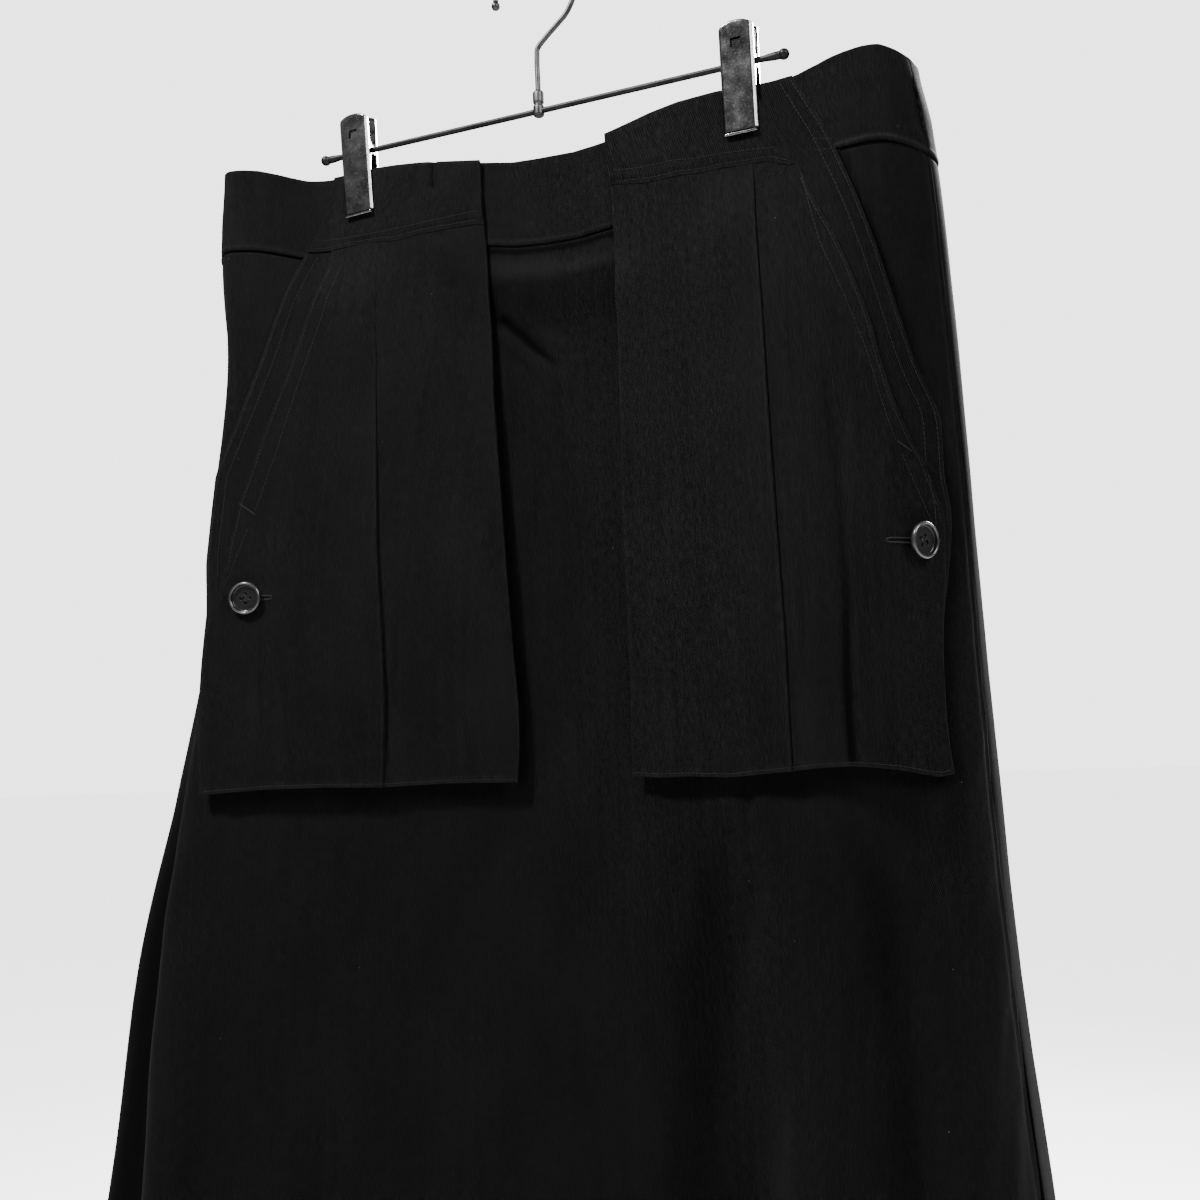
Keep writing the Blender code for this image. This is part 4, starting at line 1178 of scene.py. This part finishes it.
def make_button(side):
    """Dished four-hole button, sewn on with two bars of thread over its buttonhole."""
    x, depth = BUTTON_AT[side]
    u = front_u([x], [depth])
    out = normals(u, [depth])[0]
    tree = tree_of(panels[side]["face"])
    seat, _ = on_cloth(tree, u, [depth])
    across = unit(np.cross(out, (0.0, 0.0, 1.0)))
    up = np.cross(out, across)
    out = unit(out + 0.05 * up + BUTTON_TURN[side] * across)
    across = unit(np.cross(out, (0.0, 0.0, 1.0)))
    up = np.cross(out, across)
    origin = seat[0] + out * (0.0006 + 0.009 * abs(BUTTON_TURN[side]))
    r = BUTTON_R
    profile = round_profile(((0, 0), (0.62 * r, 0), (0.95 * r, 0.0008), (r, 0.0019),
                             (0.985 * r, 0.0031), (0.90 * r, 0.0037), (0.83 * r, 0.0033),
                             (0.79 * r, 0.0017), (0.74 * r, 0.0014), (0.40 * r, 0.0014),
                             (0, 0.0013)), 0.0004)
    button = lathe("button_%s_disc" % side, profile, 96, (origin, across, up, out), BUTTON)
    spin = math.radians(45.0 if side == "left" else 22.0)
    across, up = (across * math.cos(spin) + up * math.sin(spin),
                  up * math.cos(spin) - across * math.sin(spin))
    for a in (-BUTTON_HOLE_AT, BUTTON_HOLE_AT):
        for b in (-BUTTON_HOLE_AT, BUTTON_HOLE_AT):
            at = origin + across * a + up * b
            tool = lathe("hole", ((0, -0.001), (BUTTON_HOLE_R, -0.001), (BUTTON_HOLE_R, 0.0013),
                                  (BUTTON_HOLE_R + 0.0006, 0.0030), (0, 0.0030)), 24,
                         (at, across, up, out), BUTTON)
            cut(button, tool)
    # The rim's faces take the lighter black, a painted highlight ring.
    button.data.materials.append(RIM_PAINTED_HIGHLIGHT)
    for face in button.data.polygons:
        arm = np.array(face.center) - origin
        if np.linalg.norm(arm - (arm @ out) * out) > 0.83 * r:
            face.material_index = len(button.data.materials) - 1
    attach(button, "button_black", "button_%s" % side)
    bars = []
    for b in (-BUTTON_HOLE_AT, BUTTON_HOLE_AT):
        for k, shift in enumerate((-0.00034, 0.0, 0.00034)):
            t = np.linspace(0.0, math.pi, 14)
            path = (origin + np.outer(-BUTTON_HOLE_AT * np.cos(t), across)
                    + (b + shift) * up + np.outer(0.0006 + 0.0011 * np.sin(t), out))
            bars.append(tube("bar", path, 0.00022, THREAD, 8))
    bars = attach(join("button_%s_thread" % side, bars), "panel_twill")
    low, high = HOLE_LINE[side]
    t = np.linspace(0.0, 2 * math.pi, 120, endpoint=False)
    mid, half, wide = 0.5 * (low + high), 0.5 * (high - low), 0.0011
    xs = mid + np.clip(1.08 * half * np.cos(t), -half, half)
    ds = depth + wide * np.clip(1.6 * np.sin(t), -1.0, 1.0)
    at, ways = on_cloth(tree, front_u(xs, ds), ds)
    rim = 0.00050 + 0.00009 * np.sin(np.arange(120) * 2.2)
    hole = tube("buttonhole_%s" % side, at + ways * 0.0001, rim, THREAD, 8, closed=True)
    return button, bars, attach(hole, "panel_twill")


def cut(target, tool):
    """Exact boolean cut; the tool goes."""
    mod = target.modifiers.new("cut", "BOOLEAN")
    mod.operation = "DIFFERENCE"
    mod.solver = "EXACT"
    mod.object = tool
    settle(target)
    bpy.data.objects.remove(tool, do_unlink=True)


buttons = {side: make_button(side) for side in ("left", "right")}

# ---- hanger ----

def smooth_path(points, count):
    """Points spaced evenly along a smooth curve through the given ones."""
    points = np.array(points, float)
    n = len(points)
    fine = []
    for k in range(n - 1):
        p0, p1, p2, p3 = (points[min(max(k + j, 0), n - 1)] for j in (-1, 0, 1, 2))
        d01, d12, d23 = (max(np.linalg.norm(b - a), 1e-9) ** 0.5
                         for a, b in ((p0, p1), (p1, p2), (p2, p3)))
        m1 = (p2 - p1) + d12 * ((p1 - p0) / d01 - (p2 - p0) / (d01 + d12)) if k else p2 - p1
        m2 = ((p2 - p1) + d12 * ((p3 - p2) / d23 - (p3 - p1) / (d12 + d23))
              if k < n - 2 else p2 - p1)
        for t in np.linspace(0.0, 1.0, 24, endpoint=False):
            fine.append(hermite(p1, p2, m1, m2, 1.0, t))
    fine.append(points[-1])
    fine = np.array(fine)
    run = distances(fine)
    at = np.linspace(0.0, run[-1], count)
    return np.stack([np.interp(at, run, fine[:, k]) for k in range(3)], axis=1)


def make_rod():
    """Rod with turned ball ends and a small collar before each."""
    half = [(0.0, 0.0)]
    for deg in range(8, 142, 8):
        t = math.radians(deg)
        half.append((BALL_R * math.sin(t), BALL_R * (1.0 - math.cos(t))))
    half += [(ROD_R + 0.0006, 2 * BALL_R - 0.0003), (ROD_R + 0.0006, 2 * BALL_R + 0.0022),
             (ROD_R + 0.0003, 2 * BALL_R + 0.0055), (ROD_R, 2 * BALL_R + 0.0085)]
    end = ROD_HALF + 0.0017 + BALL_R
    profile = [(r, -end + h) for r, h in half]
    profile += [(ROD_R, -end + 0.025 + (2 * end - 0.05) * k / 20) for k in range(21)]
    profile += [(r, end - h) for r, h in reversed(half)]
    frame_at = ((0, 0, -ROD_DROP), (0, 1, 0), (0, 0, 1), (1, 0, 0))
    return attach(lathe("rod", profile, 32, frame_at, ROD_METAL), "wire_steel", "hanger_rod")


def make_hook():
    """Bent wire with a ball tip, held in a swaged sleeve on the rod."""
    path = [(0.0, 0.0, -0.0905), (0.0, 0.0, -0.078), (0.0, 0.0, -0.0650), (0.0006, 0.0, -0.0600),
            (0.0060, 0.0, -0.0545), (0.0135, 0.0, -0.0483), (0.0200, 0.0, -0.0425)]
    for deg in range(-18, 181, 9):
        t = math.radians(deg)
        path.append((HOOK_R * math.cos(t), 0.0, HOOK_R * math.sin(t) - HOOK_R + HOOK_WIRE_R))
    path = smooth_path(path, 150)
    wire = tube("wire", path, HOOK_WIRE_R, WIRE, 24)
    tip = path[-1]
    profile = [(0.0026 * math.sin(math.radians(d)), 0.0026 * -math.cos(math.radians(d)))
               for d in range(0, 181, 10)]
    profile[0], profile[-1] = (0, profile[0][1]), (0, profile[-1][1])
    ball = lathe("ball", profile, 28, (tip - np.array((0, 0, 0.0020)), (1, 0, 0), (0, 1, 0),
                                       (0, 0, 1)), WIRE)
    foot, top = -ROD_DROP - 0.0034, -ROD_DROP + 0.0125
    profile = round_profile(((0, foot), (0.0024, foot), (0.0033, foot + 0.0010),
                             (0.0033, foot + 0.0062), (0.0026, foot + 0.0070),
                             (0.0026, foot + 0.0078), (0.0033, foot + 0.0086),
                             (0.0033, top - 0.0012), (0.0022, top), (0, top)), 0.0005)
    sleeve = lathe("sleeve", profile, 40, ((0, 0, 0), (1, 0, 0), (0, 1, 0), (0, 0, 1)),
                   ROD_METAL)
    return attach(join("hook_wire", [wire, ball, sleeve]), "wire_steel", "hook")


def prism(name, pairs):
    """Closed prism between two outlines, given point by point as pairs, faces outward."""
    n = len(pairs)
    points = [a for a, _ in pairs] + [b for _, b in pairs]
    faces = [tuple(range(n)), tuple(reversed(range(n, 2 * n)))]
    faces += [(k, n + k, n + (k + 1) % n, (k + 1) % n) for k in range(n)]
    ob = make_object(name, points, faces, CLIP)
    face_outward(ob)
    return ob


def plate_middle(height):
    """Depth of the middle of a clip's plate, which is nearly straight from jaw to finger end."""
    return np.interp(height, (-0.0427, 0.0203), (PINCH_Y + PINCH + GAP + 0.0017, 0.0068))


def clip_plate(name, centre, sign, node_name, lean):
    """Pressed clip plate: arched top, chamfered and turned-in sides, window with the spring's
    pad behind it, ears, and a rolled lip at its jaw."""
    half, corner, foot = JAW_HALF - 0.0002, 0.0013, -0.0427
    top = 0.0228 if sign < 0 else 0.0250
    flat = np.linspace(0.0, half - corner - 0.0002, 15)
    across = np.concatenate((flat, half - corner + np.array((0.0, 0.0002)),
                             half - np.array((0.0002, 0.0)), [half] * 3))
    side_sink = np.concatenate((0.0 * flat, (0.00005, 0.0002), (corner - 0.0002, corner),
                                [corner + 0.0003] * 3))
    side_more = np.concatenate((0.0 * flat, [0.0] * 4, [0.0, 0.5, 1.0]))
    across = np.concatenate((-across[:0:-1], across))
    side_sink = np.concatenate((side_sink[:0:-1], side_sink))
    side_more = np.concatenate((side_more[:0:-1], side_more))
    turn = np.radians(np.linspace(0.0, 90.0, 6))
    bend = 0.0007
    heights = [top] + list(top - bend + bend * np.sin(turn[::-1]))
    top_sink = [bend + 0.0005] + list(bend * (1.0 - np.cos(turn[::-1])))
    plain = np.linspace(top - bend, foot + 0.0026, 70)[1:]
    heights += list(plain)
    top_sink += [0.0] * len(plain)
    rows = []
    for h, sink in zip(heights, top_sink):
        z = h - 0.0033 * (np.abs(across) / half) ** 2.4 * smooth(0.008, top, h)
        depth = np.interp(z, (foot, -0.0170, -0.0060, 0.0200), (0.0017, 0.0019, 0.0036, 0.0030))
        side = side_sink + side_more * (depth - corner - 0.0003)
        crown = 0.00015 * (1.0 - (across / half) ** 2)
        y = plate_middle(z) + crown - np.hypot(side, sink)
        rows.append(np.stack((across, y, z), axis=1))
    mid = np.array(rows) * np.array((1.0, sign, 1.0)) + np.array((centre, 0.0, -ROD_DROP))
    if sign > 0:
        mid = mid[:, ::-1]
    plate = shell("plate", mid, 0.00062, CLIP)
    wide, tall, soft, window = 0.0030, 0.0027, 0.0005, 0.0100
    outline = []
    for sx, sz, start in ((1, 1, 0), (-1, 1, 90), (-1, -1, 180), (1, -1, 270)):
        for deg in np.linspace(start, start + 90, 6):
            t = math.radians(deg)
            outline.append((centre + sx * (wide - soft) + soft * math.cos(t),
                            -ROD_DROP + window + sz * (tall - soft) + soft * math.sin(t)))
    y_mid = sign * plate_middle(window)
    cut(plate, prism("window", [((x, y_mid - 0.003, z), (x, y_mid + 0.003, z))
                                for x, z in outline]))
    parts = [plate]
    pad = [(0.0009, tall + 0.0012), (0.0013, tall + 0.0012), (0.0013, -tall - 0.0012),
           (0.0009, -tall - 0.0012)]
    parts.append(prism("pad", [((centre - wide - 0.0014, (plate_middle(window) - d) * sign,
                           z + window - ROD_DROP),
                          (centre + wide + 0.0008, (plate_middle(window) - d) * sign,
                           z + window - ROD_DROP)) for d, z in pad]))
    ends = np.concatenate(([0.0, 0.0002, 0.0006], np.linspace(0.0012, 2 * half - 0.0012, 12),
                           [2 * half - 0.0006, 2 * half - 0.0002, 2 * half]))
    size = np.array([0.35, 0.75, 0.95] + [1.0] * 12 + [0.95, 0.75, 0.35]) * 0.00095
    lip_y = sign * (plate_middle(foot) - 0.0001)
    lip = [(centre - half + e, lip_y, foot + 0.0009 - ROD_DROP) for e in ends]
    parts.append(tube("lip", lip, size, CLIP, 20))
    inner = PINCH_Y + PINCH + GAP
    strip = [(inner + 0.0002, foot + 0.0005), (inner + 0.0010, foot + 0.0003),
             (inner + 0.0010, foot + 0.0045), (inner + 0.0002, foot + 0.0045)]
    parts.append(prism("strip", [((centre - half + 0.0007, y * sign, z - ROD_DROP),
                                  (centre + half - 0.0007, y * sign, z - ROD_DROP))
                                 for y, z in strip]))
    ear_half = half + 0.00025 if sign < 0 else half - 0.0011
    for edge in (-1, 1):
        outline = [(plate_middle(0.0090) - 0.0014, 0.0090)]
        for deg in np.linspace(62, 298, 18):
            t = math.radians(deg)
            outline.append((0.0038 * math.cos(t), 0.0038 * math.sin(t)))
        outline.append((plate_middle(-0.0085) - 0.0014, -0.0085))
        low, high = sorted((centre + edge * ear_half, centre + edge * (ear_half - 0.0008)))
        ear = prism("ear", [((low, y * sign, z - ROD_DROP), (high, y * sign, z - ROD_DROP))
                            for y, z in outline])
        mod = ear.modifiers.new("soft", "BEVEL")
        mod.width, mod.segments, mod.limit_method = 0.00016, 2, "ANGLE"
        settle(ear)
        parts.append(ear)
    ob = join(name, parts)
    pivot = Vector((centre, 0.0, -ROD_DROP))
    swing = Matrix.Translation(pivot) @ Matrix.Rotation(-lean, 4, "Y")
    ob.data.transform(swing @ Matrix.Translation(-pivot))
    face_outward(ob, math.radians(28))
    return attach(ob, "clip_steel", node_name)


def make_spring(name, centre, node_name):
    """Torsion spring round the rod, with a leg up behind each plate."""
    wire, coil, turns, half = 0.00055, 0.0029, 6, 0.0052
    t = np.linspace(0.0, 2 * math.pi * turns, 40 * turns)
    x = centre - half + 2 * half * t / t[-1]
    path = np.stack((x, coil * np.cos(t), -ROD_DROP + coil * np.sin(t)), axis=1)
    steps = np.linspace(0.0, 1.0, 14)[:, None]
    top_back = np.array((centre - half, plate_middle(0.0110) - 0.0009, -ROD_DROP + 0.0110))
    top_front = np.array((centre + half, 0.0009 - plate_middle(0.0110), -ROD_DROP + 0.0110))
    first = top_back + (path[0] - top_back) * steps
    last = path[-1] + (top_front - path[-1]) * steps
    path = np.concatenate((first[:-1], path, last[1:]))
    return attach(tube(name, path, wire, SPRING, 12), "spring_steel", node_name)


make_rod()
make_hook()
for side, x in (("left", -CLIP_X), ("right", CLIP_X)):
    lean = math.radians(2.6 if side == "left" else 0.3)
    clip_plate("clip_%s_plate_front" % side, x, -1.0, "clip_%s_front" % side, lean)
    clip_plate("clip_%s_plate_back" % side, x, 1.0, "clip_%s_back" % side, lean)
    make_spring("clip_%s_coil" % side, x, "clip_%s_spring" % side)

# ---- a loop over the panels that sets nothing ----

for side in ("left", "right"):
    ply = panels[side]

# ---- floor and light ----

f = Finish("floor_pale", "Object")
viewed = f.node("ShaderNodeLightPath").outputs[0]
f.shade(Base_Color=f.mix(f.noise(f.at, 2.0, 3.0), 0.86, 0.90), Roughness=0.9,
        Specular_IOR_Level=0.1, Emission_Color=(1.0, 1.0, 1.0, 1.0),
        Emission_Strength=f.total(0.3, (viewed, 2.3)))
floor = make_object("floor", ((-30, -30, -1.25), (30, -30, -1.25), (30, 30, -1.25),
                              (-30, 30, -1.25)), [(0, 1, 2, 3)], f.mat)

world = bpy.data.worlds.new("studio")
world.use_nodes = True
bpy.context.scene.world = world
sky = world.node_tree
seen = node(sky, "ShaderNodeBackground", {"Color": (1.0, 1.0, 1.0, 1.0), "Strength": 3.2})
lit = node(sky, "ShaderNodeBackground", {"Color": (1.0, 1.0, 1.0, 1.0), "Strength": 0.40})
either = node(sky, "ShaderNodeMixShader", {1: lit.outputs[0], 2: seen.outputs[0],
                                          0: node(sky, "ShaderNodeLightPath").outputs[0]})
sky.links.new(either.outputs[0], sky.nodes["World Output"].inputs["Surface"])


def lamp(name, at, aim, size, power):
    """Square soft light aimed at a point."""
    light = bpy.data.lights.new(name, "AREA")
    light.shape = "SQUARE"
    light.size = size
    light.energy = power
    ob = bpy.data.objects.new(name, light)
    ob.location = at
    ob.visible_camera = False
    ob.rotation_euler = (Vector(aim) - Vector(at)).to_track_quat("-Z", "Y").to_euler()
    bpy.context.scene.collection.objects.link(ob)


lamp("key", (-0.48, -0.97, 0.92), (0.0, 0.0, -0.40), 0.22, 91.0)
lamp("side", (1.18, -0.56, 0.50), (0.0, 0.0, -0.30), 0.70, 27.0)
lamp("back", (0.70, 1.65, 0.75), (0.0, 0.1, -0.50), 0.50, 180.0)
lamp("fill", (-0.90, 1.75, 0.75), (0.0, 0.0, -0.40), 1.20, 45.0)
